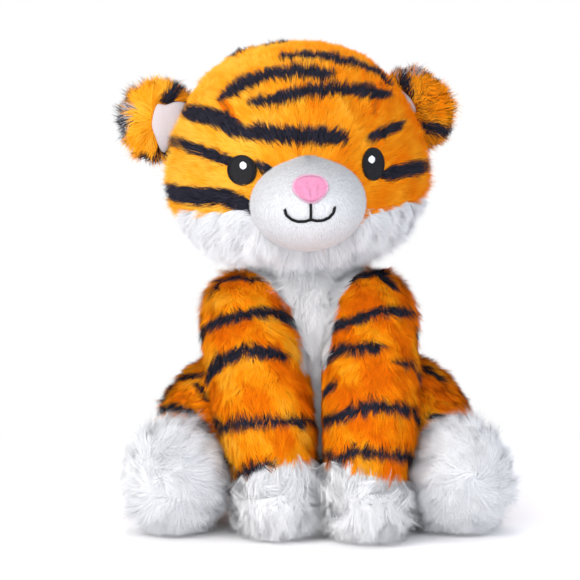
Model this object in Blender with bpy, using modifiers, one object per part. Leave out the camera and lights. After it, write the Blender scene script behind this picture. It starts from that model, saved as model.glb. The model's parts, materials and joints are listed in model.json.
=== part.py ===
"""A sitting plush tiger: stuffed head, torso, four legs, ears and tail, with their linings and fillings.

Metres, +Z up. The toy faces -Y and sits on z = 0, with the origin in the middle of its seat panel.
The toy's right side is at -X and its left side at +X.
"""
import math

import bmesh
import bpy
from mathutils import Matrix, Vector

# Clearances
CLEARANCE = 0.0004
RUNNING_CLEARANCE = 0.0010
SHOULDER_CLEARANCE = 0.0020
TAIL_CLEARANCE = 0.0006
FILLING_CLEARANCE = 0.0010
FLAT_DEPTH = 0.0005
PILE_THICKNESS = 0.0022

# Head
HEAD_WIDTH = 0.127
HEAD_DEPTH = 0.110
HEAD_HEIGHT = 0.109
HEAD_SIDE_SHIFT = -0.009
HEAD_FORWARD = 0.010
HEAD_TURN = math.radians(5.0)
HEAD_ROLL = math.radians(-2.0)
HEAD_PROFILE = ((0.95, 0.38), (0.78, 0.65), (0.46, 0.87), (0.10, 0.98),
                (-0.25, 1.02), (-0.56, 0.98), (-0.81, 0.80), (-0.96, 0.48))

# Face
MUZZLE_WIDTH = 0.057
MUZZLE_HEIGHT = 0.046
MUZZLE_REACH = 0.027
MUZZLE_SET_IN = 0.006
MUZZLE_DROP = 0.0235
NOSE_WIDTH = 0.0175
NOSE_HEIGHT = 0.013
NOSE_RISE = 0.009
NOSE_THICKNESS = 0.0016
MOUTH_WIDTH = 0.0235
MOUTH_DROP = 0.0052
MOUTH_SAG = 0.0055
MOUTH_THREAD = 0.0016
STEM_GAP = 0.0012
EYE_WIDTH = 0.014
EYE_HEIGHT = 0.0148
EYE_SPREAD = 0.0335
EYE_DROP = 0.006
EYE_THICKNESS = 0.0018
HIGHLIGHT_DIAMETER = 0.003
HIGHLIGHT_INWARD = 0.0018
HIGHLIGHT_RISE = 0.0023
HIGHLIGHT_THICKNESS = 0.0008
PATCH_COLUMN = 0.016
CHEEK_TOP_DROP = 0.0290
CHEEK_BOTTOM_DROP = 0.0500
CHEEK_THICKNESS = 0.0016
CHEEK_SAG = 0.0045
CHEEK_BACK = 0.012

# Ears
EAR_WIDTH = 0.042
EAR_HEIGHT = 0.043
EAR_THICKNESS = 0.011
EAR_RISE = {"right": 0.0125, "left": 0.0160}
EAR_BEHIND = 0.013
EAR_OVERHANG = {"right": 0.0085, "left": 0.0120}
EAR_ROOT_LEAN = math.radians(24.0)
EAR_TURN = {"right": math.radians(-7.0), "left": math.radians(-40.0)}
EAR_FOLD_FORWARD = math.radians(25.0)
EAR_FOLD_BACK = math.radians(-15.0)
LINING_WIDTH = 0.021
LINING_HEIGHT = 0.028
LINING_THICKNESS = 0.0012
LINING_INWARD = {"right": 0.005, "left": -0.001}

# Torso
TORSO_WIDTH = 0.104
TORSO_DEPTH = 0.086
TORSO_HEIGHT = 0.130
TORSO_BELOW = 0.004
TORSO_LEAN = -0.005
TORSO_PROFILE = ((0.03, 0.80), (0.15, 0.97), (0.31, 1.0), (0.48, 0.95),
                 (0.65, 0.86), (0.80, 0.77), (0.92, 0.65), (0.985, 0.44))
SEAT_WIDTH = 0.066
SEAT_DEPTH = 0.060
SEAT_THICKNESS = 0.0015
CHEST_WIDTH = 0.046
CHEST_TOP = 0.122
CHEST_BOTTOM = 0.022

# Neck
NECK_GAP = 0.0020
NECK_RAISE = 0.001
NECK_BALL_RADIUS = 0.015
NECK_PLUG_RADIUS = 0.0135
NECK_PLUG_DEPTH = 0.017
NECK_TURN_STEPS = 16

# Front legs
SHOULDER_HEIGHT = 0.105
SHOULDER_RADIUS = 0.023
SHOULDER_OUT = 0.031
SHOULDER_INSET = 0.006
LEG_WIDTH = 0.047
LEG_DEPTH = 0.045
LEG_BOW = 0.014
ANKLE_WIDTH = 0.040
ANKLE_HEIGHT = 0.027
ANKLE_BEHIND = 0.003
PAW_WIDTH = 0.042
PAW_LENGTH = 0.048
PAW_HEIGHT = 0.036
PAW_OUT = {"right": 0.0187, "left": 0.0250}
PAW_FORWARD = {"right": 0.068, "left": 0.075}
LEG_SWING = math.radians(55.0)

# Hind legs
HIP_HEIGHT = 0.049
HIP_BEHIND = 0.011
HIP_INSET = 0.008
HAUNCH_WIDTH = 0.058
HAUNCH_HEIGHT = 0.070
HAUNCH_BACK = 0.024
HOCK_WIDTH = 0.042
HOCK_SHARE = 0.84
FOOT_WIDTH = 0.047
FOOT_LENGTH = 0.046
FOOT_HEIGHT = 0.054
FOOT_OUT = {"right": 0.0695, "left": 0.0715}
FOOT_FORWARD = {"right": 0.062, "left": 0.059}
HIND_LIFT = math.radians(25.0)
HIND_AXIS_TILT = math.radians(45.0)

# Tail
TAIL_ROOT_HEIGHT = 0.024
TAIL_ROOT_RADIUS = 0.0095
TAIL_ROOT_OUT = 0.002
TAIL_RISE = 0.001
TAIL_RADIUS = 0.0105
TAIL_TIP_RADIUS = 0.0085
TAIL_PATH = ((0.004, 0.016), (0.015, 0.030), (0.033, 0.036), (0.052, 0.033), (0.066, 0.024))
TAIL_TIP_START = 3.3

# Fillings
COVER_THICKNESS = 0.010
LEG_FILLING_ROOT = 0.008
PAW_FILLING_RISE = 0.004
PAW_FILLING_DROP = 0.006
HIND_FILLING_RADIUS = 0.013
HEAD_FILLING_RISE = 0.001
POUCH_WIDTH = 0.064
POUCH_DEPTH = 0.058
POUCH_HEIGHT = 0.026
POUCH_BASE = 0.008
TORSO_FILLING_PROFILE = ((0.27, 0.66, 0.0), (0.42, 0.72, 0.002), (0.58, 0.56, 0.006),
                         (0.72, 0.36, 0.008), (0.82, 0.24, 0.004))
TORSO_FILLING_BASE = 0.17
TORSO_FILLING_TOP_GAP = 0.003

SIDES = {"right": -1.0, "left": 1.0}

PARTS = bpy.data.collections.new("plush_tiger")
CUTTERS = bpy.data.collections.new("cutters")


def clear_scene():
    """Start from an empty scene."""
    for item in list(bpy.data.objects):
        bpy.data.objects.remove(item)
    bpy.context.scene.collection.children.link(PARTS)
    bpy.context.scene.collection.children.link(CUTTERS)


def cloth(name, colour, roughness):
    """A Principled material for one kind of cloth, thread or fibre."""
    material = bpy.data.materials.new(name)
    material.use_nodes = True
    shader = material.node_tree.nodes["Principled BSDF"]
    shader.inputs["Base Color"].default_value = (*colour, 1.0)
    shader.inputs["Roughness"].default_value = roughness
    shader.inputs["Metallic"].default_value = 0.0
    return material


def new_object(name, mesh, collection, material=None, parent=None):
    """Put a mesh in the scene, smooth, with its cloth and its parent."""
    item = bpy.data.objects.new(name, mesh)
    collection.objects.link(item)
    if material:
        mesh.materials.clear()
        mesh.materials.append(material)
    if collection is CUTTERS:
        item.hide_render = True
        item.display_type = "WIRE"
    mesh.shade_smooth()
    item.parent = parent
    return item


def new_empty(name, matrix, parent=None):
    """An empty that carries pieces, such as the frame of the head or a joint."""
    item = bpy.data.objects.new(name, None)
    item.empty_display_size = 0.01
    PARTS.objects.link(item)
    item.parent = parent
    item.matrix_local = matrix
    return item


def carry(item, joint):
    """Parent a piece that is modelled in place to the empty on its joint's axis."""
    bpy.context.view_layer.update()
    place = item.matrix_world.copy()
    item.parent = joint
    item.matrix_parent_inverse = joint.matrix_world.inverted()
    item.matrix_basis = place
    return item


def between(profile, level):
    """Girth of a profile of (height, girth) pairs at a height, by straight steps."""
    pairs = sorted(profile)
    if level <= pairs[0][0]:
        return pairs[0][1]
    for (low, low_girth), (high, high_girth) in zip(pairs, pairs[1:]):
        if level <= high:
            share = (level - low) / (high - low)
            return low_girth + share * (high_girth - low_girth)
    return pairs[-1][1]


def ring(centre, half_u, half_v, u, v):
    """One ring of a form: its centre, its half sizes and the directions they run in."""
    return (Vector(centre), half_u, half_v, Vector(u), Vector(v))


def form_mesh(name, first, rings, last, sides):
    """A coarse closed cage: rings of points between two end points.

    Subdivision draws a ring in a little, so each is opened by the same share first.
    """
    opened = 1.0 / (0.75 + 0.25 * math.cos(2.0 * math.pi / sides))
    shape = bmesh.new()
    loops = []
    for centre, half_u, half_v, u, v in rings:
        loop = []
        for step in range(sides):
            angle = 2.0 * math.pi * step / sides
            point = centre + u * half_u * opened * math.cos(angle)
            point = point + v * half_v * opened * math.sin(angle)
            loop.append(shape.verts.new(point))
        loops.append(loop)
    start = shape.verts.new(first)
    end = shape.verts.new(last)
    for step in range(sides):
        after = (step + 1) % sides
        shape.faces.new((start, loops[0][step], loops[0][after]))
        for near, far in zip(loops, loops[1:]):
            shape.faces.new((near[step], far[step], far[after], near[after]))
        shape.faces.new((end, loops[-1][after], loops[-1][step]))
    bmesh.ops.recalc_face_normals(shape, faces=shape.faces)
    mesh = bpy.data.meshes.new(name)
    shape.to_mesh(mesh)
    shape.free()
    return mesh


def round_off(item, levels=1):
    """Subdivision Surface, which makes the cage swell."""
    modifier = item.modifiers.new("swell", "SUBSURF")
    modifier.levels = levels
    modifier.render_levels = levels
    return item


def form(name, first, rings, last, sides, collection, material=None, parent=None):
    """A stuffed form with its subdivision."""
    mesh = form_mesh(name, first, rings, last, sides)
    return round_off(new_object(name, mesh, collection, material, parent))


def ball_rings(centre, half_sizes, axis, u, v, sides, count):
    """End points and rings of a stuffed ball, with its poles along axis.

    Rings and poles stand out by the share that the subdivision takes back.
    """
    centre = Vector(centre)
    axis = Vector(axis)
    half_axis, half_u, half_v = half_sizes
    opened = 1.0 / (0.75 + 0.25 * math.cos(math.pi / (count + 0.5)))
    rings = []
    for step in range(count):
        angle = math.pi * (step + 0.75) / (count + 0.5)
        middle = centre + axis * half_axis * opened * math.cos(angle)
        girth = opened * math.sin(angle)
        rings.append(ring(middle, half_u * girth, half_v * girth, u, v))
    first_level = opened * math.cos(math.pi * 0.75 / (count + 0.5))
    pull = 5.0 / (3.0 * sides)
    pole = axis * half_axis * (1.0 - pull * first_level) / (1.0 - pull)
    return centre + pole, rings, centre - pole


def ball(name, centre, half_sizes, axis, u, v, sides, count, collection, material=None, parent=None):
    """A stuffed ball: half sizes along axis, u and v."""
    first, rings, last = ball_rings(centre, half_sizes, axis, u, v, sides, count)
    return form(name, first, rings, last, sides, collection, material, parent)


def sphere_cutter(name, centre, radius):
    """A true sphere, for the sockets that a rounded end turns in."""
    shape = bmesh.new()
    bmesh.ops.create_uvsphere(shape, u_segments=16, v_segments=10, radius=radius)
    mesh = bpy.data.meshes.new(name)
    shape.to_mesh(mesh)
    shape.free()
    item = new_object(name, mesh, CUTTERS)
    item.location = centre
    return item


def box_cutter(name, low, high, parent=None):
    """A box between two corners."""
    shape = bmesh.new()
    low = Vector(low)
    high = Vector(high)
    size = high - low
    matrix = Matrix.Translation((low + high) / 2) @ Matrix.Diagonal((*size, 1.0))
    bmesh.ops.create_cube(shape, size=1.0, matrix=matrix)
    mesh = bpy.data.meshes.new(name)
    shape.to_mesh(mesh)
    shape.free()
    return new_object(name, mesh, CUTTERS, parent=parent)


def oval_mesh(name, half_u, half_v, length, matrix, segments=24):
    """An oval column along the matrix's Z."""
    shape = bmesh.new()
    place = matrix @ Matrix.Diagonal((half_u, half_v, 1.0, 1.0))
    bmesh.ops.create_cone(shape, cap_ends=True, segments=segments, radius1=1.0, radius2=1.0,
                          depth=length, matrix=place)
    bmesh.ops.recalc_face_normals(shape, faces=shape.faces)
    mesh = bpy.data.meshes.new(name)
    shape.to_mesh(mesh)
    shape.free()
    return mesh


def oval_cutter(name, half_u, half_v, length, matrix, parent=None, segments=24):
    """An oval column that cuts."""
    mesh = oval_mesh(name, half_u, half_v, length, matrix, segments)
    return new_object(name, mesh, CUTTERS, parent=parent)


def outline_cutter(name, points, depth, matrix, parent=None):
    """A column whose section is a flat outline, from a filled 2D curve."""
    flat = bpy.data.curves.new(name, "CURVE")
    flat.dimensions = "2D"
    flat.fill_mode = "BOTH"
    flat.extrude = depth / 2
    line = flat.splines.new("POLY")
    line.points.add(len(points) - 1)
    line.use_cyclic_u = True
    for place, (across, up) in zip(line.points, points):
        place.co = (across, up, 0.0, 1.0)
    return curve_to_mesh(name, flat, CUTTERS, None, parent, matrix)


def curve_to_mesh(name, curve, collection, material, parent, matrix=Matrix.Identity(4)):
    """Turn a curve into one closed mesh, its caps welded."""
    guide = bpy.data.objects.new(name + "_curve", curve)
    CUTTERS.objects.link(guide)
    bpy.context.view_layer.update()
    seen = guide.evaluated_get(bpy.context.evaluated_depsgraph_get())
    mesh = bpy.data.meshes.new_from_object(seen)
    shape = bmesh.new()
    shape.from_mesh(mesh)
    bmesh.ops.remove_doubles(shape, verts=shape.verts, dist=0.00001)
    bmesh.ops.transform(shape, matrix=matrix, verts=shape.verts)
    bmesh.ops.recalc_face_normals(shape, faces=shape.faces)
    shape.to_mesh(mesh)
    shape.free()
    bpy.data.objects.remove(guide)
    return new_object(name, mesh, collection, material, parent)


def cut(item, cutter, operation="DIFFERENCE"):
    """One Boolean with the exact solver."""
    modifier = item.modifiers.new(cutter.name, "BOOLEAN")
    modifier.operation = operation
    modifier.solver = "EXACT"
    modifier.object = cutter
    return item


def grown(source, by, name, collection=CUTTERS, material=None):
    """The same uncut form with its skin moved out, for a clearance or for a sewn layer."""
    item = new_object(name, source.data.copy(), collection, material, source.parent)
    item.matrix_parent_inverse = source.matrix_parent_inverse.copy()
    item.matrix_basis = source.matrix_basis.copy()
    round_off(item)
    modifier = item.modifiers.new("grow", "DISPLACE")
    modifier.strength = by
    modifier.mid_level = 0.0
    return item


def layer(name, base, column, inner, outer, material):
    """A sewn layer on a form: the space between two heights above it, within a column."""
    item = grown(base, outer, name, PARTS, material)
    cut(item, column, "INTERSECT")
    cut(item, grown(base, inner, name + "_seat"))
    return item


def turned_about(item, point, axis, angle):
    """Turn an unparented copy about a hinge line."""
    bpy.context.view_layer.update()
    place = item.matrix_world.copy()
    item.parent = None
    turn = Matrix.Rotation(angle, 4, axis)
    item.matrix_world = Matrix.Translation(point) @ turn @ Matrix.Translation(-point) @ place
    return item


def make_room(item, neighbour, clearance, point, axis, angles):
    """Cut a moving piece back from its neighbour as it stands at each angle of the joint."""
    for angle in angles:
        name = f"{item.name}_room_{neighbour.name}_{round(math.degrees(angle))}"
        cutter = turned_about(grown(neighbour, clearance, name), point, axis, -angle)
        cut(item, cutter)
    return item


ORANGE = cloth("orange_plush", (0.92, 0.33, 0.02), 0.9)
WHITE = cloth("white_plush", (0.84, 0.85, 0.88), 0.9)
SHORT_WHITE = cloth("white_velboa", (0.82, 0.82, 0.84), 0.85)
BLACK_THREAD = cloth("black_thread", (0.012, 0.012, 0.016), 0.5)
WHITE_THREAD = cloth("white_thread", (0.86, 0.86, 0.88), 0.5)
PINK_THREAD = cloth("pink_thread", (0.85, 0.28, 0.50), 0.5)
FIBRE = cloth("polyester_fibre", (0.80, 0.80, 0.78), 0.9)
POUCH_CLOTH = cloth("pouch_cloth", (0.60, 0.58, 0.53), 0.9)
SEAT_CLOTH = cloth("seat_cloth", (0.90, 0.32, 0.02), 0.9)

clear_scene()

# Frames of the head and the neck
HEAD_BOTTOM = TORSO_HEIGHT + NECK_GAP
NECK_CENTRE = Vector((TORSO_LEAN, 0.0, HEAD_BOTTOM + NECK_RAISE))
HEAD_CENTRE = Vector((HEAD_SIDE_SHIFT, -HEAD_FORWARD, HEAD_BOTTOM + HEAD_HEIGHT / 2))
HEAD_POSE = Matrix.Translation(HEAD_CENTRE) @ Matrix.Rotation(HEAD_TURN, 4, "Z")
HEAD_POSE = HEAD_POSE @ Matrix.Rotation(HEAD_ROLL, 4, "Y")

neck_joint = new_empty("neck_turn_axis", Matrix.Translation(NECK_CENTRE))
nod_joint = new_empty("head_nod_axis", Matrix.Identity(4), neck_joint)
bpy.context.view_layer.update()
head_frame = new_empty("head_frame", nod_joint.matrix_world.inverted() @ HEAD_POSE, nod_joint)
bpy.context.view_layer.update()

X = Vector((1.0, 0.0, 0.0))
Y = Vector((0.0, 1.0, 0.0))
Z = Vector((0.0, 0.0, 1.0))


def head_surface(across, up):
    """The point on the front of the head at a place across and up, and its outward normal."""
    girth = between(HEAD_PROFILE, 2.0 * up / HEAD_HEIGHT)
    half_width = HEAD_WIDTH / 2 * girth
    half_depth = HEAD_DEPTH / 2 * girth
    ahead = -half_depth * math.sqrt(1.0 - (across / half_width) ** 2)
    normal = Vector((across / half_width ** 2, ahead / half_depth ** 2, 0.0)).normalized()
    return Vector((across, ahead, up)), normal


# Head
def head_rings():
    """Rings of the head, from crown to chin."""
    rings = []
    for level, girth in HEAD_PROFILE:
        centre = Z * level * HEAD_HEIGHT / 2
        rings.append(ring(centre, HEAD_WIDTH / 2 * girth, HEAD_DEPTH / 2 * girth, X, Y))
    return rings


crown = Z * HEAD_HEIGHT / 2
head = form("head", crown, head_rings(), -crown, 16, PARTS, ORANGE, head_frame)

# The face: muzzle, nose, mouth, eyes
MUZZLE_BACK, _ = head_surface(0.0, -MUZZLE_DROP)
MUZZLE_CENTRE = MUZZLE_BACK + Y * MUZZLE_SET_IN
MUZZLE_HALF_DEPTH = MUZZLE_REACH + MUZZLE_SET_IN

muzzle = ball("muzzle", MUZZLE_CENTRE, (MUZZLE_HALF_DEPTH, MUZZLE_WIDTH / 2, MUZZLE_HEIGHT / 2),
              -Y, X, Z, 16, 5, PARTS, SHORT_WHITE, head_frame)
cut(muzzle, grown(head, CLEARANCE, "muzzle_seat"))


def muzzle_surface(across, up):
    """The point on the front of the muzzle at a place from its centre, in the head's frame."""
    share = 1.0 - (2.0 * across / MUZZLE_WIDTH) ** 2 - (2.0 * up / MUZZLE_HEIGHT) ** 2
    return MUZZLE_CENTRE + Vector((across, -MUZZLE_HALF_DEPTH * math.sqrt(share), up))


def nose_outline():
    """An oval, flatter above and drawn to a soft point below."""
    points = []
    for step in range(24):
        angle = 2.0 * math.pi * step / 24
        across = NOSE_WIDTH / 2 * math.cos(angle)
        up = NOSE_HEIGHT / 2 * math.sin(angle)
        if up < 0.0:
            across *= 1.0 - 0.35 * (2.0 * up / NOSE_HEIGHT) ** 2
        points.append((across, up))
    return points


FACING = Matrix.Rotation(math.pi / 2, 4, "X")
nose_place = Matrix.Translation(MUZZLE_CENTRE - Y * MUZZLE_HALF_DEPTH + Z * NOSE_RISE) @ FACING
nose_column = outline_cutter("nose_column", nose_outline(), MUZZLE_REACH, nose_place, head_frame)
nose = layer("nose", muzzle, nose_column, CLEARANCE, NOSE_THICKNESS, PINK_THREAD)


def thread_line(name, points, collection):
    """A raised line of satin stitch through points on the muzzle."""
    curve = bpy.data.curves.new(name, "CURVE")
    curve.dimensions = "3D"
    curve.bevel_depth = MOUTH_THREAD / 2
    curve.bevel_resolution = 1
    curve.use_fill_caps = True
    line = curve.splines.new("POLY")
    line.points.add(len(points) - 1)
    for place, point in zip(line.points, points):
        place.co = (*point, 1.0)
    return curve_to_mesh(name, curve, collection, BLACK_THREAD, head_frame)


MOUTH_POINTS = []
for mouth_step in range(17):
    share_across = mouth_step / 8.0 - 1.0
    dip = MOUTH_SAG * math.sin(math.pi * min(1.0, abs(share_across)) ** 0.8) ** 0.8
    rise = MOUTH_SAG * abs(share_across) ** 3
    MOUTH_POINTS.append(muzzle_surface(share_across * MOUTH_WIDTH / 2, -MOUTH_DROP - 0.35 * dip + rise))
STEM_POINTS = []
for stem_step in range(4):
    stem_up = NOSE_RISE - NOSE_HEIGHT / 2 - STEM_GAP
    stem_share = stem_step / 3.0
    STEM_POINTS.append(muzzle_surface(0.0, stem_up + stem_share * (-MOUTH_DROP - stem_up)))

mouth = thread_line("mouth", MOUTH_POINTS, PARTS)
cut(mouth, thread_line("mouth_stem", STEM_POINTS, CUTTERS), "UNION")
cut(mouth, grown(muzzle, CLEARANCE, "mouth_seat"))

for side, sign in SIDES.items():
    eye_point, eye_normal = head_surface(sign * EYE_SPREAD, -EYE_DROP)
    turn = eye_normal.to_track_quat("Z", "Y").to_matrix().to_4x4()
    place = Matrix.Translation(eye_point) @ turn
    column = oval_cutter(f"eye_column_{side}", EYE_WIDTH / 2, EYE_HEIGHT / 2, PATCH_COLUMN, place, head_frame)
    layer(f"eye_patch_{side}", head, column, CLEARANCE, EYE_THICKNESS, BLACK_THREAD)
    shine = Matrix.Translation(Z * HIGHLIGHT_RISE - X * sign * HIGHLIGHT_INWARD) @ place
    column = oval_cutter(f"highlight_column_{side}", HIGHLIGHT_DIAMETER / 2, HIGHLIGHT_DIAMETER / 2,
                         PATCH_COLUMN, shine, head_frame, 12)
    layer(f"eye_highlight_{side}", head, column, EYE_THICKNESS + CLEARANCE,
          EYE_THICKNESS + HIGHLIGHT_THICKNESS, WHITE_THREAD)

# White cheek panel round the lower face: the head's own form, set lower so that it thickens downwards
cheek_column = box_cutter("cheek_column", (-HEAD_WIDTH, -HEAD_DEPTH, -CHEEK_BOTTOM_DROP),
                          (HEAD_WIDTH, CHEEK_BACK, -CHEEK_TOP_DROP), head_frame)
cheek_panel = layer("cheek_panel", head, cheek_column, CLEARANCE, CHEEK_THICKNESS, WHITE)
cheek_panel.matrix_basis = Matrix.Translation(Z * -CHEEK_SAG)
cut(cheek_panel, grown(muzzle, CLEARANCE, "cheek_muzzle_room"))

# Ears and their linings
EAR_JOINTS = {}

for side, sign in SIDES.items():
    ear_girth = between(HEAD_PROFILE, 2.0 * EAR_RISE[side] / HEAD_HEIGHT)
    ear_share = math.sqrt(1.0 - (2.0 * EAR_BEHIND / (HEAD_DEPTH * ear_girth)) ** 2)
    root = Vector((sign * HEAD_WIDTH / 2 * ear_girth * ear_share, EAR_BEHIND, EAR_RISE[side]))
    root_up = (Z * math.cos(EAR_ROOT_LEAN) - X * sign * math.sin(EAR_ROOT_LEAN)).normalized()
    outward = Matrix.Rotation(EAR_TURN[side], 4, root_up) @ (X * sign)
    outward = (outward - root_up * outward.dot(root_up)).normalized()
    facing = outward.cross(root_up).normalized() * sign
    ear_centre = root + outward * (EAR_WIDTH / 2 - EAR_OVERHANG[side])
    hinge_point = HEAD_POSE @ root
    hinge_axis = (HEAD_POSE.to_3x3() @ (root_up * -sign)).normalized()
    joint = new_empty(f"ear_{side}_axis", Matrix.Translation(root), head_frame)
    EAR_JOINTS[side] = (joint, hinge_point, hinge_axis)

    ear = ball(f"ear_{side}", ear_centre, (EAR_THICKNESS / 2, EAR_WIDTH / 2, EAR_HEIGHT / 2),
               facing, outward, root_up, 12, 3, PARTS, ORANGE, head_frame)
    basis = Matrix((outward, root_up, facing)).transposed().to_4x4()
    lining_middle = ear_centre + facing * EAR_THICKNESS / 2 - outward * LINING_INWARD[side]
    lining_place = Matrix.Translation(lining_middle) @ basis
    lining_column = oval_cutter(f"lining_column_{side}", LINING_WIDTH / 2, LINING_HEIGHT / 2,
                                EAR_THICKNESS, lining_place, head_frame, 20)
    lining = layer(f"ear_lining_{side}", ear, lining_column, CLEARANCE, LINING_THICKNESS, SHORT_WHITE)
    fold_angles = (EAR_FOLD_BACK, 0.0, EAR_FOLD_FORWARD)
    for piece in (ear, lining):
        make_room(piece, head, RUNNING_CLEARANCE, hinge_point, hinge_axis, fold_angles)
        carry(piece, joint)


# Torso
def torso_half(level):
    """Half width and half depth of the torso at a height."""
    girth = between(TORSO_PROFILE, level / TORSO_HEIGHT)
    return TORSO_WIDTH / 2 * girth, TORSO_DEPTH / 2 * girth


def torso_middle(level):
    """The torso leans a little to its right towards the top."""
    return X * TORSO_LEAN * (level / TORSO_HEIGHT) ** 2


torso_rings = []
for level_share, torso_girth in TORSO_PROFILE:
    height = level_share * TORSO_HEIGHT
    middle = torso_middle(height) + Z * height
    torso_rings.append(ring(middle, TORSO_WIDTH / 2 * torso_girth, TORSO_DEPTH / 2 * torso_girth, X, Y))
torso_first = Z * -TORSO_BELOW
torso_last = torso_middle(TORSO_HEIGHT) + Z * TORSO_HEIGHT
torso = form("torso", torso_first, torso_rings, torso_last, 14, PARTS, ORANGE)
under = box_cutter("under_torso", (-0.2, -0.2, -0.1), (0.2, 0.2, SEAT_THICKNESS + CLEARANCE))
cut(torso, under)

seat_place = Matrix.Translation(Z * SEAT_THICKNESS / 2)
seat_mesh = oval_mesh("seat_panel", SEAT_WIDTH / 2, SEAT_DEPTH / 2, SEAT_THICKNESS, seat_place)
seat_panel = new_object("seat_panel", seat_mesh, PARTS, SEAT_CLOTH)


# Neck wadding
def turned(name, profile, centre, collection, material=None, parent=None):
    """A turned piece from a profile of (radius, height) points, listed from top to bottom."""
    shape = bmesh.new()
    verts = [shape.verts.new((radius, 0.0, height)) for radius, height in profile]
    for upper, lower in zip(verts, verts[1:]):
        shape.edges.new((upper, lower))
    mesh = bpy.data.meshes.new(name)
    shape.to_mesh(mesh)
    shape.free()
    item = new_object(name, mesh, collection, material, parent)
    item.matrix_world = Matrix.Translation(centre)
    screw = item.modifiers.new("turn", "SCREW")
    screw.steps = NECK_TURN_STEPS
    screw.render_steps = NECK_TURN_STEPS
    screw.use_merge_vertices = True
    screw.merge_threshold = 0.0001
    return item


def neck_profile(extra):
    """Ball above, plug below, with a clearance all round."""
    ball_radius = NECK_BALL_RADIUS + extra
    plug_radius = NECK_PLUG_RADIUS + extra
    bottom = TORSO_HEIGHT - NECK_PLUG_DEPTH - NECK_CENTRE.z - extra
    low_angle = -math.acos(plug_radius / ball_radius)
    points = []
    for step in range(7):
        angle = math.pi / 2 + (low_angle - math.pi / 2) * step / 6
        points.append((ball_radius * math.cos(angle), ball_radius * math.sin(angle)))
    points[0] = (0.0, ball_radius)
    points.append((plug_radius, bottom))
    points.append((0.0, bottom))
    return points


neck = turned("neck_wadding", neck_profile(0.0), NECK_CENTRE, PARTS, FIBRE)
carry(neck, neck_joint)
neck_recess = turned("neck_recess", neck_profile(RUNNING_CLEARANCE), NECK_CENTRE, CUTTERS)
neck_socket = sphere_cutter("neck_socket", NECK_CENTRE, NECK_BALL_RADIUS + RUNNING_CLEARANCE)
cut(torso, neck_recess)
cut(head, neck_socket)

# Front legs, paws and their fillings
LEG_JOINTS = {}
FRONT_LEGS = {}


def path_rings(points, halves, side_hint):
    """Rings along a path, each square to the path, with half sizes across and along the hint's normal."""
    rings = []
    for index, point in enumerate(points):
        before = points[max(index - 1, 0)]
        after = points[min(index + 1, len(points) - 1)]
        along = (after - before).normalized()
        across = (side_hint - along * side_hint.dot(along)).normalized()
        rings.append(ring(point, halves[index][0], halves[index][1], across, along.cross(across)))
    return rings


def keep_side(name, point, normal, gap):
    """A large slab on the far side of a plane, set back by a gap, to cut a form off there."""
    turn = normal.to_track_quat("Z", "Y").to_matrix().to_4x4()
    place = Matrix.Translation(point + normal * (gap + 0.04)) @ turn
    slab = box_cutter(name, (-0.05, -0.05, -0.04), (0.05, 0.05, 0.04))
    slab.matrix_world = place
    return slab


def leg_point(shoulder, ankle, share):
    """The middle of a front leg, which bows forward over the belly on its way down."""
    return shoulder.lerp(ankle, share) - Y * LEG_BOW * 4.0 * share * (1.0 - share)


floor_cut = box_cutter("floor", (-0.3, -0.3, -0.1), (0.3, 0.3, 0.0))

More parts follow.
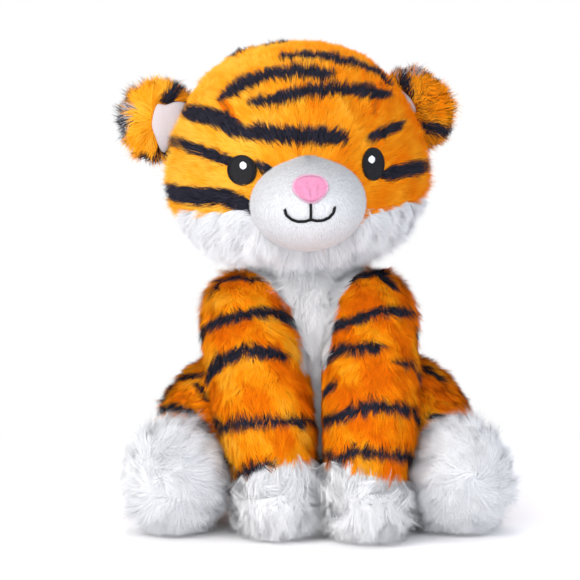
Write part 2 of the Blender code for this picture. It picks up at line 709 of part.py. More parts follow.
for side, sign in SIDES.items():
    half_width, half_depth = torso_half(SHOULDER_HEIGHT)
    shoulder = torso_middle(SHOULDER_HEIGHT) + Z * SHOULDER_HEIGHT
    shoulder = shoulder + X * sign * SHOULDER_OUT - Y * (half_depth - SHOULDER_INSET)
    paw_centre = Vector((sign * PAW_OUT[side], -PAW_FORWARD[side], PAW_HEIGHT / 2 - FLAT_DEPTH))
    ankle = paw_centre + Z * (ANKLE_HEIGHT - paw_centre.z) + Y * ANKLE_BEHIND
    down = (leg_point(shoulder, ankle, 1.0) - leg_point(shoulder, ankle, 0.9)).normalized()
    start = (leg_point(shoulder, ankle, 0.05) - shoulder).normalized()
    r = SHOULDER_RADIUS
    centres = [shoulder - start * 0.80 * r, shoulder - start * 0.42 * r, shoulder + start * 0.05 * r]
    centres += [leg_point(shoulder, ankle, share) for share in (0.36, 0.62, 0.88, 1.06)]
    halves = [(0.58 * r, 0.58 * r), (0.90 * r, 0.90 * r), (r, r)]
    halves += [(LEG_WIDTH / 2, LEG_DEPTH / 2), (LEG_WIDTH / 2, LEG_DEPTH / 2)]
    halves += [(ANKLE_WIDTH / 2, ANKLE_WIDTH / 2), (0.4 * ANKLE_WIDTH, 0.4 * ANKLE_WIDTH)]
    leg = form(f"front_leg_{side}", shoulder - start * r, path_rings(centres, halves, X),
               leg_point(shoulder, ankle, 1.10), 10, PARTS, ORANGE)
    cut(leg, keep_side(f"ankle_{side}", ankle, down, -CLEARANCE / 2))
    paw = ball(f"front_paw_{side}", paw_centre, (PAW_HEIGHT / 2, PAW_WIDTH / 2, PAW_LENGTH / 2),
               Z, X, Y, 12, 5, PARTS, WHITE)
    cut(paw, keep_side(f"paw_top_{side}", ankle, -down, -CLEARANCE / 2))
    cut(paw, floor_cut)
    core_r = LEG_WIDTH / 2 - COVER_THICKNESS
    core = [leg_point(shoulder, ankle, share) for share in (0.03, 0.35, 0.7)] + [paw_centre + Z * PAW_FILLING_RISE]
    core_first = shoulder - start * LEG_FILLING_ROOT
    core_last = paw_centre - Z * PAW_FILLING_DROP
    core_halves = [(core_r * share, core_r * share) for share in (0.8, 0.9, 0.9, 0.8)]
    filling = form(f"front_leg_filling_{side}", core_first, path_rings(core, core_halves, X),
                   core_last, 8, PARTS, FIBRE)
    cavity = grown(filling, FILLING_CLEARANCE, f"front_leg_hollow_{side}")
    cut(leg, cavity)
    cut(paw, cavity)
    cut(torso, grown(leg, SHOULDER_CLEARANCE, f"shoulder_socket_{side}"))
    joint = new_empty(f"front_leg_{side}_axis", Matrix.Translation(shoulder))
    LEG_JOINTS[side] = (joint, shoulder, -X)
    FRONT_LEGS[side] = (leg, paw, filling)

torso_rest = form("torso_rest", torso_first, torso_rings, torso_last, 14, CUTTERS)
for side in SIDES:
    for piece in FRONT_LEGS[side]:
        carry(piece, LEG_JOINTS[side][0])

# Hind legs, feet and their fillings
HIND_JOINTS = {}
for side, sign in SIDES.items():
    half_width, half_depth = torso_half(HIP_HEIGHT)
    hip = Vector((sign * (half_width - HIP_INSET), HIP_BEHIND, HIP_HEIGHT))
    foot_centre = Vector((sign * FOOT_OUT[side], -FOOT_FORWARD[side], FOOT_HEIGHT / 2 - FLAT_DEPTH))
    reach = foot_centre - hip
    points = [hip + Y * 0.6 * HAUNCH_BACK]
    points += [hip + reach * share for share in (0.05, 0.32, 0.58, HOCK_SHARE, 1.0)]
    halves = [(0.36 * HAUNCH_WIDTH, 0.36 * HAUNCH_HEIGHT), (HAUNCH_WIDTH / 2, HAUNCH_HEIGHT / 2),
              (0.52 * HAUNCH_WIDTH, 0.48 * HAUNCH_HEIGHT), (0.56 * HOCK_WIDTH, 0.64 * HOCK_WIDTH),
              (HOCK_WIDTH / 2, 0.53 * HOCK_WIDTH), (0.42 * HOCK_WIDTH, 0.42 * HOCK_WIDTH)]
    leg = form(f"hind_leg_{side}", hip + Y * HAUNCH_BACK, path_rings(points, halves, X),
               hip + reach * 1.1, 12, PARTS, ORANGE)
    hock = hip + reach * HOCK_SHARE
    ahead = reach.normalized()
    cut(leg, keep_side(f"hock_{side}", hock, ahead, -CLEARANCE / 2))
    cut(leg, floor_cut)
    foot = ball(f"hind_foot_{side}", foot_centre, (FOOT_HEIGHT / 2, FOOT_WIDTH / 2, FOOT_LENGTH / 2),
                Z, X, Y, 12, 5, PARTS, WHITE)
    cut(foot, keep_side(f"foot_back_{side}", hock, -ahead, -CLEARANCE / 2))
    cut(foot, floor_cut)
    core = [hip + reach * share for share in (0.12, 0.50, 0.90)]
    core_r = HIND_FILLING_RADIUS
    core_halves = [(core_r * share, core_r * share) for share in (0.95, 1.1, 0.9)]
    filling = form(f"hind_leg_filling_{side}", hip, path_rings(core, core_halves, X),
                   hip + reach, 8, PARTS, FIBRE)
    cavity = grown(filling, FILLING_CLEARANCE, f"hind_leg_hollow_{side}")
    cut(leg, cavity)
    cut(foot, cavity)
    axis = (Z * sign * math.sin(HIND_AXIS_TILT) - X * math.cos(HIND_AXIS_TILT)).normalized()
    joint = new_empty(f"hind_leg_{side}_axis", Matrix.Translation(hip))
    HIND_JOINTS[side] = (joint, hip, axis)
    lift_angles = (0.0, HIND_LIFT / 2, HIND_LIFT)
    make_room(leg, torso_rest, RUNNING_CLEARANCE, hip, axis, lift_angles)
    make_room(filling, torso_rest, COVER_THICKNESS / 2, hip, axis, (0.0,))
    front_leg, front_paw, _ = FRONT_LEGS[side]
    make_room(leg, front_leg, RUNNING_CLEARANCE, hip, axis, lift_angles)
    for piece in (leg, foot, filling):
        carry(piece, joint)

# Chest panel
chest_column = box_cutter("chest_column", (TORSO_LEAN / 2 - CHEST_WIDTH / 2, -TORSO_DEPTH, CHEST_BOTTOM),
                          (TORSO_LEAN / 2 + CHEST_WIDTH / 2, -0.002, CHEST_TOP))
chest_panel = layer("chest_panel", torso_rest, chest_column, CLEARANCE, PILE_THICKNESS, WHITE)
for side, sign in SIDES.items():
    joint, shoulder, axis = LEG_JOINTS[side]
    cut(chest_panel, sphere_cutter(f"chest_shoulder_{side}", shoulder, SHOULDER_RADIUS + 2 * RUNNING_CLEARANCE))
    for angle in (0.0, LEG_SWING / 3, 2 * LEG_SWING / 3, LEG_SWING):
        room = grown(FRONT_LEGS[side][0], RUNNING_CLEARANCE, f"chest_room_{side}_{round(math.degrees(angle))}")
        cut(chest_panel, turned_about(room, shoulder, axis, angle))

# Tail
tail_half_width, tail_half_depth = torso_half(TAIL_ROOT_HEIGHT)
TAIL_ROOT = Vector((0.0, tail_half_depth + TAIL_ROOT_OUT, TAIL_ROOT_HEIGHT))
tail_points = [TAIL_ROOT]
for across, behind in TAIL_PATH:
    tail_points.append(Vector((across, TAIL_ROOT.y + behind, TAIL_RADIUS + TAIL_RISE)))
tail_halves = [TAIL_ROOT_RADIUS, TAIL_RADIUS, TAIL_RADIUS, TAIL_RADIUS, TAIL_RADIUS, TAIL_TIP_RADIUS]
tail_end = tail_points[-1] + (tail_points[-1] - tail_points[-2]).normalized() * TAIL_TIP_RADIUS
tail_into = (TAIL_ROOT - tail_points[1]).normalized() * TAIL_ROOT_RADIUS
root_points = [TAIL_ROOT + tail_into * 0.86, TAIL_ROOT + tail_into * 0.48]
root_halves = [TAIL_ROOT_RADIUS * 0.56, TAIL_ROOT_RADIUS * 0.92]
tail_rings = path_rings(root_points + tail_points, [(r, r) for r in root_halves + tail_halves], Z)
tail_start = TAIL_ROOT + tail_into
tail = form("tail", tail_start, tail_rings, tail_end, 8, PARTS, ORANGE)
tip_index = int(TAIL_TIP_START)
tip_share = TAIL_TIP_START - tip_index
tip_point = tail_points[tip_index].lerp(tail_points[tip_index + 1], tip_share)
tip_along = (tail_points[tip_index + 1] - tail_points[tip_index]).normalized()
tail_tip = form("tail_tip", tail_start, tail_rings, tail_end, 8, PARTS, WHITE)
cut(tail, keep_side("tail_cut", tip_point, tip_along, -CLEARANCE / 2))
cut(tail_tip, keep_side("tip_cut", tip_point, -tip_along, -CLEARANCE / 2))
cut(torso, sphere_cutter("tail_socket", TAIL_ROOT, TAIL_ROOT_RADIUS + TAIL_CLEARANCE))
tail_joint = new_empty("tail_axis", Matrix.Translation(TAIL_ROOT))
for piece in (tail, tail_tip):
    carry(piece, tail_joint)

# Fillings of the torso and the head, and the pellet pouch
pouch_centre = Z * (POUCH_BASE + POUCH_HEIGHT / 2)
pouch_halves = (POUCH_HEIGHT / 2, POUCH_WIDTH / 2, POUCH_DEPTH / 2)
pouch = ball("pellet_pouch", pouch_centre, pouch_halves, Z, X, Y, 10, 3, PARTS, POUCH_CLOTH)
torso_core = []
for share, girth, back in TORSO_FILLING_PROFILE:
    height = share * TORSO_HEIGHT
    middle = torso_middle(height) + Z * height + Y * back
    torso_core.append(ring(middle, TORSO_WIDTH / 2 * girth, TORSO_DEPTH / 2 * girth, X, Y))
core_top = torso_middle(TORSO_HEIGHT) + Z * (TORSO_HEIGHT - NECK_PLUG_DEPTH + TORSO_FILLING_TOP_GAP)
torso_filling = form("torso_filling", Z * TORSO_FILLING_BASE * TORSO_HEIGHT, torso_core, core_top, 8, PARTS, FIBRE)
cut(torso, grown(torso_filling, FILLING_CLEARANCE, "torso_hollow"))
cut(torso, grown(pouch, FILLING_CLEARANCE, "pouch_hollow"))
cut(torso_filling, grown(pouch, FILLING_CLEARANCE, "pouch_room"))
cut(torso_filling, neck_recess)

head_core = [size / 2 - COVER_THICKNESS for size in (HEAD_HEIGHT, HEAD_WIDTH, HEAD_DEPTH)]
head_filling = ball("head_filling", Z * HEAD_FILLING_RISE, head_core, Z, X, Y, 10, 3, PARTS, FIBRE, head_frame)
cut(head, grown(head_filling, FILLING_CLEARANCE, "head_hollow"))
cut(head_filling, sphere_cutter("filling_socket", NECK_CENTRE, NECK_BALL_RADIUS + RUNNING_CLEARANCE))

bpy.context.view_layer.update()
for side in SIDES:
    print("shoulder", side, [round(v, 5) for v in LEG_JOINTS[side][1]])
    print("hip", side, [round(v, 5) for v in HIND_JOINTS[side][1]], [round(v, 4) for v in HIND_JOINTS[side][2]])
    print("ear", side, [round(v, 5) for v in EAR_JOINTS[side][1]], [round(v, 4) for v in EAR_JOINTS[side][2]])
print("neck", [round(v, 5) for v in NECK_CENTRE], "tail", [round(v, 5) for v in TAIL_ROOT])
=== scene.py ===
# %% [markdown]
# # A sitting plush tiger
#
# The real toy is cut from long brushed pile cloth, sewn into stuffed forms and then given a face in satin
# stitch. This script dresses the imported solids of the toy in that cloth: first the skins, which are the
# backing of the cloth pulled tight by the filling, then the pile that stands on them, then the stitched
# face.
#
# The frame comes first. Every object here is in metres, and the toy faces -Y.

# %% The frame
import json
import math

import bmesh
import bpy
import numpy as np
from mathutils import Matrix, Vector
from mathutils.bvhtree import BVHTree
from mathutils.kdtree import KDTree

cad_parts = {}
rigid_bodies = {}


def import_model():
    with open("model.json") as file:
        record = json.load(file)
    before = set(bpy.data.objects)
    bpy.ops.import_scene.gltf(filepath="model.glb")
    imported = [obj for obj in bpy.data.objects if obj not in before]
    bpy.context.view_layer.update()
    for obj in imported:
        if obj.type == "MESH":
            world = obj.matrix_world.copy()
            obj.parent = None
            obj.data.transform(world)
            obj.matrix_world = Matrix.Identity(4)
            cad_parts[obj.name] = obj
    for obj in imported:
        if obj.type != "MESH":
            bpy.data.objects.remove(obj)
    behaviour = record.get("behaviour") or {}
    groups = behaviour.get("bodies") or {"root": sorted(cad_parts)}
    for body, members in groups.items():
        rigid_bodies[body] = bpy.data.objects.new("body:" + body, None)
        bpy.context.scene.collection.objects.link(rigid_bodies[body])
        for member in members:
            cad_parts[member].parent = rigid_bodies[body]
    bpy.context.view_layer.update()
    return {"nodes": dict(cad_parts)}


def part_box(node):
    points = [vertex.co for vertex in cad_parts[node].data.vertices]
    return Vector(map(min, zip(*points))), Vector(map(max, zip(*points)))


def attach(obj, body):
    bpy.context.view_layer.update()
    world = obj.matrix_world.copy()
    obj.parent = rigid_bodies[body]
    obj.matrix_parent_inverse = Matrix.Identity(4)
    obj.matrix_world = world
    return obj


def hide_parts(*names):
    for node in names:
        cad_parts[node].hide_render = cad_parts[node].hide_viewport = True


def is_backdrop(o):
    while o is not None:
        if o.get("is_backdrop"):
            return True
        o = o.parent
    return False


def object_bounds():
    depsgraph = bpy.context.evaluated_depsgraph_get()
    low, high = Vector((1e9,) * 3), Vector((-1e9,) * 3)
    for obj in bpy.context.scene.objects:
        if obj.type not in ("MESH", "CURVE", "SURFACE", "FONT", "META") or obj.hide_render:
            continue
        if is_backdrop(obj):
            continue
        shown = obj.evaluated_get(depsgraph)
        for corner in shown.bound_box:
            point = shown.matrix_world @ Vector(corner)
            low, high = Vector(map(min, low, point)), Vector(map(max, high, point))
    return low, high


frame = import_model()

MM = 0.001

# %% [markdown]
# ## The camera
#
# The photo is taken from in front and a little above, from far enough away that lines stay parallel. A long
# lens at 1.2 m gives the same view. The camera is made before the cloth, because the stripes are drawn from
# it.

# %% Camera
CAMERA_DISTANCE = 1.2
CAMERA_RISE = math.radians(6.0)
CAMERA_TARGET = Vector((-0.0125, -0.040, 0.1183))
LENS_MM = 149.0


def in_scene(name, data):
    """Add an object to the scene."""
    item = bpy.data.objects.new(name, data)
    bpy.context.scene.collection.objects.link(item)
    return item


camera_data = bpy.data.cameras.new("camera")
camera_data.lens = LENS_MM
camera_data.sensor_width = 36.0
camera_data.clip_start = 0.05
camera = in_scene("camera", camera_data)
camera_back = Vector((0.0, -math.cos(CAMERA_RISE), math.sin(CAMERA_RISE)))
camera.location = CAMERA_TARGET + camera_back * CAMERA_DISTANCE
camera.rotation_euler = (-camera_back).to_track_quat("-Z", "Y").to_euler()
bpy.context.scene.camera = camera
bpy.context.view_layer.update()
print("camera at", [round(v, 3) for v in camera.location])

# %% [markdown]
# A stripe is drawn as a line on a flat picture plane that faces the camera, in mm across and up, and is then
# thrown onto the stuffed forms. Two functions go between that plane and the toy.

# %% Picture plane
PICTURE_RIGHT = Vector((1.0, 0.0, 0.0))
PICTURE_UP = Vector((0.0, math.sin(CAMERA_RISE), math.cos(CAMERA_RISE)))
PICTURE_BASE = Vector((12.5, -112.0))


def picture_ray(across, up):
    """The line of sight through a place on the picture plane, in mm from the toy's seat."""
    right = (across + PICTURE_BASE.x) * MM
    rise = (up + PICTURE_BASE.y) * MM
    point = CAMERA_TARGET + PICTURE_RIGHT * right + PICTURE_UP * rise
    return camera.location, (point - camera.location).normalized()


def on_picture(places):
    """Where places are seen on the picture plane, in mm: across and up."""
    sight = places - np.array(camera.location)
    depth = -sight @ np.array(camera_back)
    scale = CAMERA_DISTANCE / depth
    return (sight @ np.array(PICTURE_RIGHT) * scale / MM - PICTURE_BASE.x,
            sight @ np.array(PICTURE_UP) * scale / MM - PICTURE_BASE.y)


print("middle of the picture at", [round(float(v), 1) for v in on_picture(np.array(CAMERA_TARGET))], "mm")

# %% [markdown]
# ## Colours
#
# Colours are written as the eye reads them, in sRGB hex, and one function turns them to the linear numbers
# that a shader needs.

# %% Colour helper


def linear(hex_colour):
    """An sRGB hex colour as linear numbers."""
    values = [int(hex_colour[i:i + 2], 16) / 255.0 for i in (1, 3, 5)]
    return [v / 12.92 if v <= 0.04045 else ((v + 0.055) / 1.055) ** 2.4 for v in values]


# %% [markdown]
# ## Stuffed forms
#
# A stuffed form is a tube of cloth that swells between its seams. It could be sculpted, but rings of points
# between two ends are easier to measure and change. They make a coarse cage. A Subdivision Surface modifier
# swells it later, as the filling does, and takes back a little of each ring, so the rings are opened by
# that share first.

# %% Cages


def cage(first, rings, last, sides):
    """A closed cage between two ends. A ring is its centre, its two half sizes and their directions."""
    opened = 1.0 / (0.75 + 0.25 * math.cos(2.0 * math.pi / sides))
    shape = bmesh.new()
    loops = []
    for centre, half_u, half_v, u, v in rings:
        loop = []
        for step in range(sides):
            angle = 2.0 * math.pi * step / sides
            out = u * half_u * math.cos(angle) + v * half_v * math.sin(angle)
            loop.append(shape.verts.new(centre + out * opened))
        loops.append(loop)
    start = shape.verts.new(first)
    end = shape.verts.new(last)
    for step in range(sides):
        after = (step + 1) % sides
        shape.faces.new((start, loops[0][step], loops[0][after]))
        for near, far in zip(loops, loops[1:]):
            shape.faces.new((near[step], far[step], far[after], near[after]))
        shape.faces.new((end, loops[-1][after], loops[-1][step]))
    bmesh.ops.recalc_face_normals(shape, faces=shape.faces)
    return shape


# %% [markdown]
# Two kinds of rings make nearly every form of the toy: those of a ball, between two poles, and those of a
# tube, which stand square to a path.

# %% Balls and tubes


def ball_rings(centre, half_sizes, axis, u, v, sides, count):
    """End points and rings of a stuffed ball, with its poles along axis."""
    centre = Vector(centre)
    axis = Vector(axis)
    half_axis, half_u, half_v = half_sizes
    opened = 1.0 / (0.75 + 0.25 * math.cos(math.pi / (count + 0.5)))
    rings = []
    for step in range(count):
        angle = math.pi * (step + 0.75) / (count + 0.5)
        girth = opened * math.sin(angle)
        middle = centre + axis * half_axis * opened * math.cos(angle)
        rings.append((middle, half_u * girth, half_v * girth, u, v))
    first_level = opened * math.cos(math.pi * 0.75 / (count + 0.5))
    pull = 5.0 / (3.0 * sides)
    pole = axis * half_axis * (1.0 - pull * first_level) / (1.0 - pull)
    return centre + pole, rings, centre - pole


def path_rings(points, halves, side_hint):
    """Rings square to a path."""
    rings = []
    for index, point in enumerate(points):
        before = points[max(index - 1, 0)]
        after = points[min(index + 1, len(points) - 1)]
        along = (after - before).normalized()
        across = (side_hint - along * side_hint.dot(along)).normalized()
        rings.append((point, *halves[index], across, along.cross(across)))
    return rings


# %% [markdown]
# Forms are drawn point by point, and the pile is grown from whole arrays of places. Three helpers go from a
# drawn form to an object and from a mesh to its arrays.

# %% Meshes and arrays


def field_of(items, field, width=1, kind=np.int32):
    """One field of all items of a mesh as an array."""
    values = np.empty(len(items) * width, dtype=kind)
    items.foreach_get(field, values)
    return values.reshape(-1, width) if width > 1 else values


def arrays(mesh):
    """Vertex places, vertex normals and triangles of a mesh as arrays, and which triangles are lids."""
    mesh.calc_loop_triangles()
    places = field_of(mesh.vertices, "co", 3, np.float64)
    normals = field_of(mesh.vertices, "normal", 3, np.float64)
    triangles = field_of(mesh.loop_triangles, "vertices", 3)
    owners = field_of(mesh.loop_triangles, "polygon_index")
    return places, normals, triangles, field_of(mesh.polygons, "material_index")[owners] == 1


def made_from(name, shape, smooth=False):
    """Turn a drawn form into an object of the scene."""
    mesh = bpy.data.meshes.new(name)
    shape.to_mesh(mesh)
    shape.free()
    if smooth:
        mesh.shade_smooth()
    return in_scene(name, mesh)


# %% [markdown]
# A cage becomes a skin, which stands for the knitted backing of the cloth. The swelling is applied, because
# the pile needs the finished surface to stand on. Where two sewn pieces meet, the form is cropped at the
# plane of their seam and closed with a flat lid, on which no pile grows.

# %% Swelling
SKINS = {}


def skin(name, body, shape, matrix=None, levels=3, crop=(), shape_it=None):
    """Swell a cage, apply the swelling, crop it at planes and keep its arrays for the pile."""
    guide = made_from(name, shape)
    swell = guide.modifiers.new("swell", "SUBSURF")
    swell.levels = swell.render_levels = levels
    bpy.context.view_layer.update()
    seen = guide.evaluated_get(bpy.context.evaluated_depsgraph_get())
    swollen = bpy.data.meshes.new_from_object(seen)
    bpy.data.objects.remove(guide)
    if shape_it is not None:
        for vertex in swollen.vertices:
            vertex.co = shape_it(vertex.co)
    if matrix:
        swollen.transform(matrix)
        if matrix.determinant() < 0.0:
            swollen.flip_normals()
    shape = bmesh.new()
    shape.from_mesh(swollen)
    for point, outward in crop:
        everything = list(shape.verts) + list(shape.edges) + list(shape.faces)
        cut = bmesh.ops.bisect_plane(
            shape, geom=everything, plane_co=point, plane_no=outward, clear_outer=True)
        rim = [item for item in cut["geom_cut"] if isinstance(item, bmesh.types.BMEdge)]
        for lid in bmesh.ops.edgeloop_fill(shape, edges=rim)["faces"]:
            lid.material_index = 1
    shape.to_mesh(swollen)
    shape.free()
    swollen.shade_smooth()
    item = in_scene(name, swollen)
    swollen.name = name
    places, normals, triangles, lids = arrays(swollen)
    tree = BVHTree.FromPolygons(places.tolist(), triangles.tolist())
    swollen.polygons.foreach_set("material_index", np.zeros(len(swollen.polygons), dtype=np.int32))
    SKINS[name] = {"object": item, "body": body, "P": places, "N": normals, "T": triangles, "open": ~lids,
                   "tree": tree}
    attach(item, body)
    return item


# %% [markdown]
# ## The head
#
# The head is one ball of cloth with a flatter crown and full cheeks. A plain ball would need sculpting, so
# its rings take their girths from a profile, read from the outline in the photo. The head is turned a few
# degrees.

# %% Head
X = Vector((1.0, 0.0, 0.0))
Y = Vector((0.0, 1.0, 0.0))
Z = Vector((0.0, 0.0, 1.0))

HEAD_SIZE = Vector((127.0, 110.0, 109.0)) * MM
HEAD_BOTTOM = 132.0 * MM
HEAD_CENTRE = Vector((-0.009, -0.010, HEAD_BOTTOM + HEAD_SIZE.z / 2))
HEAD_POSE = Matrix.Translation(HEAD_CENTRE) @ Matrix.Rotation(math.radians(5.0), 4, "Z")
HEAD_POSE = HEAD_POSE @ Matrix.Rotation(math.radians(-2.0), 4, "Y")
HEAD_PROFILE = ((0.95, 0.38), (0.78, 0.65), (0.46, 0.87), (0.10, 0.98),
                (-0.25, 1.02), (-0.56, 0.98), (-0.81, 0.80), (-0.96, 0.48))

head_rings = []
for level, girth in HEAD_PROFILE:
    middle = Z * level * HEAD_SIZE.z / 2
    head_rings.append((middle, HEAD_SIZE.x / 2 * girth, HEAD_SIZE.y / 2 * girth, X, Y))
crown = Z * HEAD_SIZE.z / 2
skin("head_skin", "head", cage(crown, head_rings, -crown, 16), HEAD_POSE)


def head_girth(up):
    """Share of the head's full girth at a height in the head's own frame."""
    pairs = sorted(HEAD_PROFILE)
    return float(np.interp(2.0 * up / HEAD_SIZE.z, [p[0] for p in pairs], [p[1] for p in pairs]))


print("head", [round(v / MM) for v in HEAD_SIZE], "mm")

# %% [markdown]
# The muzzle is a small dome of cloth sewn over the face, cut with a soft peak at the middle of its top. It
# is a stuffed ball of its own, set into the head, so that its edge is a crease as at the real seam.

# %% Muzzle
MUZZLE_HALF = Vector((28.5, 33.0, 23.0)) * MM
MUZZLE_DROP = 23.5 * MM
MUZZLE_SET_IN = 6.0 * MM
MUZZLE_CENTRE = Vector((0.0, MUZZLE_SET_IN - HEAD_SIZE.y / 2 * head_girth(-MUZZLE_DROP), -MUZZLE_DROP))
muzzle_form = ball_rings(MUZZLE_CENTRE, (MUZZLE_HALF.y, MUZZLE_HALF.x, MUZZLE_HALF.z), -Y, X, Z, 16, 5)
PEAK_HEIGHT, PEAK_WIDTH = 1.6 * MM, 7.0 * MM


def muzzle_peak(place):
    """Raise the soft peak at the middle of the muzzle's top."""
    up = max(0.0, (place.z - MUZZLE_CENTRE.z) / MUZZLE_HALF.z)
    return place + Z * PEAK_HEIGHT * up ** 3 * math.exp(-(place.x / PEAK_WIDTH) ** 2)


skin("muzzle_skin", "head", cage(*muzzle_form, 16), HEAD_POSE, levels=4, shape_it=muzzle_peak)
print("muzzle", [round(2 * v / MM) for v in MUZZLE_HALF], "mm")

# %% [markdown]
# An ear is a flat stuffed pocket, sewn on at its root and leaning out. Each is placed by its root on the
# head, and turned by its own angle, because the toy's left ear is folded further back than its right one.

# %% Ears
EAR_HALF = Vector((21.0, 5.5, 21.5)) * MM
EAR_CLOTH = {"right": 0.83, "left": 0.88}  # share of an ear that is cloth, the rest of its rim is pile
EAR_RISE = {"right": 12.5 * MM, "left": 16.0 * MM}
EAR_BEHIND = 13.0 * MM
EAR_OVERHANG = {"right": 8.5 * MM, "left": 12.0 * MM}
EAR_LEAN = math.radians(24.0)
EAR_TURN = {"right": math.radians(-7.0), "left": math.radians(-40.0)}
SIDES = {"right": -1.0, "left": 1.0}
EARS = {}

for side, sign in SIDES.items():
    girth = head_girth(EAR_RISE[side])
    share = math.sqrt(1.0 - (2.0 * EAR_BEHIND / (HEAD_SIZE.y * girth)) ** 2)
    root = Vector((sign * HEAD_SIZE.x / 2 * girth * share, EAR_BEHIND, EAR_RISE[side]))
    root_up = (Z * math.cos(EAR_LEAN) - X * sign * math.sin(EAR_LEAN)).normalized()
    outward = Matrix.Rotation(EAR_TURN[side], 4, root_up) @ (X * sign)
    outward = (outward - root_up * outward.dot(root_up)).normalized()
    facing = outward.cross(root_up).normalized() * sign
    centre = root + outward * (EAR_HALF.x - EAR_OVERHANG[side])
    basis = Matrix((outward, root_up, facing)).transposed().to_4x4()
    EARS[side] = HEAD_POSE @ Matrix.Translation(centre) @ basis
    wide, high = EAR_HALF.x * EAR_CLOTH[side], EAR_HALF.z * EAR_CLOTH[side]
    form = ball_rings((-0.001, 0, 0), (EAR_HALF.y, wide, high), Z, X, Y, 12, 3)
    skin(f"ear_{side}_skin", f"ear_{side}", cage(*form, 12), EARS[side])
print("ears at", {side: [round(v / MM) for v in place.translation] for side, place in EARS.items()}, "mm")

# %% [markdown]
# ## The body
#
# The torso is a soft cone with a flat seat, where the pellets lie. It leans a little, as a toy does that
# was set down by hand. The neck is a plug of wadding that closes the gap under the head when the head
# turns.

# %% Torso and neck
TORSO_SIZE = Vector((104.0, 86.0, 130.0)) * MM
TORSO_LEAN = -5.0 * MM
TORSO_PROFILE = ((0.03, 0.80), (0.15, 0.97), (0.31, 1.0), (0.48, 0.95),
                 (0.65, 0.86), (0.80, 0.77), (0.92, 0.65), (0.985, 0.44))


def torso_middle(height):
    """The torso leans to its right towards the top."""
    return X * TORSO_LEAN * (height / TORSO_SIZE.z) ** 2 + Z * height


def torso_half(height):
    """Half width and half depth of the torso at a height."""
    levels, girths = zip(*TORSO_PROFILE)
    girth = float(np.interp(height / TORSO_SIZE.z, levels, girths))
    return TORSO_SIZE.x / 2 * girth, TORSO_SIZE.y / 2 * girth


torso_rings = []
for level, girth in TORSO_PROFILE:
    middle = torso_middle(level * TORSO_SIZE.z)
    torso_rings.append((middle, TORSO_SIZE.x / 2 * girth, TORSO_SIZE.y / 2 * girth, X, Y))
SEAT_LEVEL = 1.9 * MM
torso_cage = cage(Z * -0.004, torso_rings, torso_middle(TORSO_SIZE.z), 14)
skin("torso_skin", "torso", torso_cage, crop=[(Z * SEAT_LEVEL, -Z)])

neck_rings = []
for level, radius in ((112.0, 22.0), (119.0, 28.5), (128.0, 29.5), (137.0, 27.0), (143.0, 21.0)):
    neck_rings.append((Vector((-0.005, 0.0, level * MM)), radius * MM, radius * MM * 0.92, X, Y))
neck_cage = cage(Vector((-0.005, 0, 0.110)), neck_rings, Vector((-0.005, 0, 0.145)), 12)
skin("neck_skin", "neck", neck_cage)

print("torso", [round(v / MM) for v in TORSO_SIZE], "mm")

# %% [markdown]
# A front leg is a tube from a ball at the shoulder to the ankle, bowed forward over the belly. The white
# paw is a ball of its own, sewn on at the ankle. Both are cropped at the plane of that seam, so they meet
# and never lie inside each other.

# %% Front legs and paws
SHOULDER_HEIGHT = 105.0 * MM
SHOULDER_RADIUS = 23.0 * MM
LEG_HALF = (23.5 * MM, 22.5 * MM)
LEG_BOW = 14.0 * MM
ANKLE_HALF = 20.0 * MM
PAW_HALF = Vector((21.0, 24.0, 18.0)) * MM
PAW_OUT = {"right": 18.7 * MM, "left": 25.0 * MM}
PAW_FORWARD = {"right": 68.0 * MM, "left": 75.0 * MM}
FLAT = 0.5 * MM
LEGS = {}


def leg_point(shoulder, ankle, share):
    """The middle of a front leg, which bows forward on its way down."""
    return shoulder.lerp(ankle, share) - Y * LEG_BOW * 4.0 * share * (1.0 - share)


for side, sign in SIDES.items():
    shoulder = torso_middle(SHOULDER_HEIGHT) + X * sign * 31.0 * MM
    shoulder = shoulder - Y * (torso_half(SHOULDER_HEIGHT)[1] - 6.0 * MM)
    paw = Vector((sign * PAW_OUT[side], -PAW_FORWARD[side], PAW_HALF.z - FLAT))
    ankle = Vector((paw.x, paw.y + 3.0 * MM, 27.0 * MM))
    down = (leg_point(shoulder, ankle, 1.0) - leg_point(shoulder, ankle, 0.9)).normalized()
    start = (leg_point(shoulder, ankle, 0.05) - shoulder).normalized()
    r = SHOULDER_RADIUS
    centres = [shoulder - start * 0.80 * r, shoulder - start * 0.42 * r, shoulder + start * 0.05 * r]
    centres += [leg_point(shoulder, ankle, share) for share in (0.36, 0.62, 0.88, 1.06)]
    halves = [(0.58 * r, 0.58 * r), (0.90 * r, 0.90 * r), (r, r), LEG_HALF, LEG_HALF]
    halves += [(ANKLE_HALF, ANKLE_HALF), (0.8 * ANKLE_HALF, 0.8 * ANKLE_HALF)]
    leg_cage = cage(shoulder - start * r, path_rings(centres, halves, X),
                    leg_point(shoulder, ankle, 1.10), 10)
    skin(f"front_leg_{side}_skin", f"front_leg_{side}", leg_cage, crop=[(ankle, down)])
    paw_form = ball_rings(paw, (PAW_HALF.z, PAW_HALF.x, PAW_HALF.y), Z, X, Y, 12, 5)
    skin(f"front_paw_{side}_skin", f"front_leg_{side}", cage(*paw_form, 12),
         crop=[(ankle, -down), (Vector(), -Z)])
    LEGS[side] = (shoulder, ankle, paw)

print("front legs from", round(SHOULDER_HEIGHT / MM), "mm down to the paws")

# %% [markdown]
# The hind legs spread from the hips along the ground. The haunch is the widest ring, and the leg narrows to
# the hock, where the round white foot is sewn on.

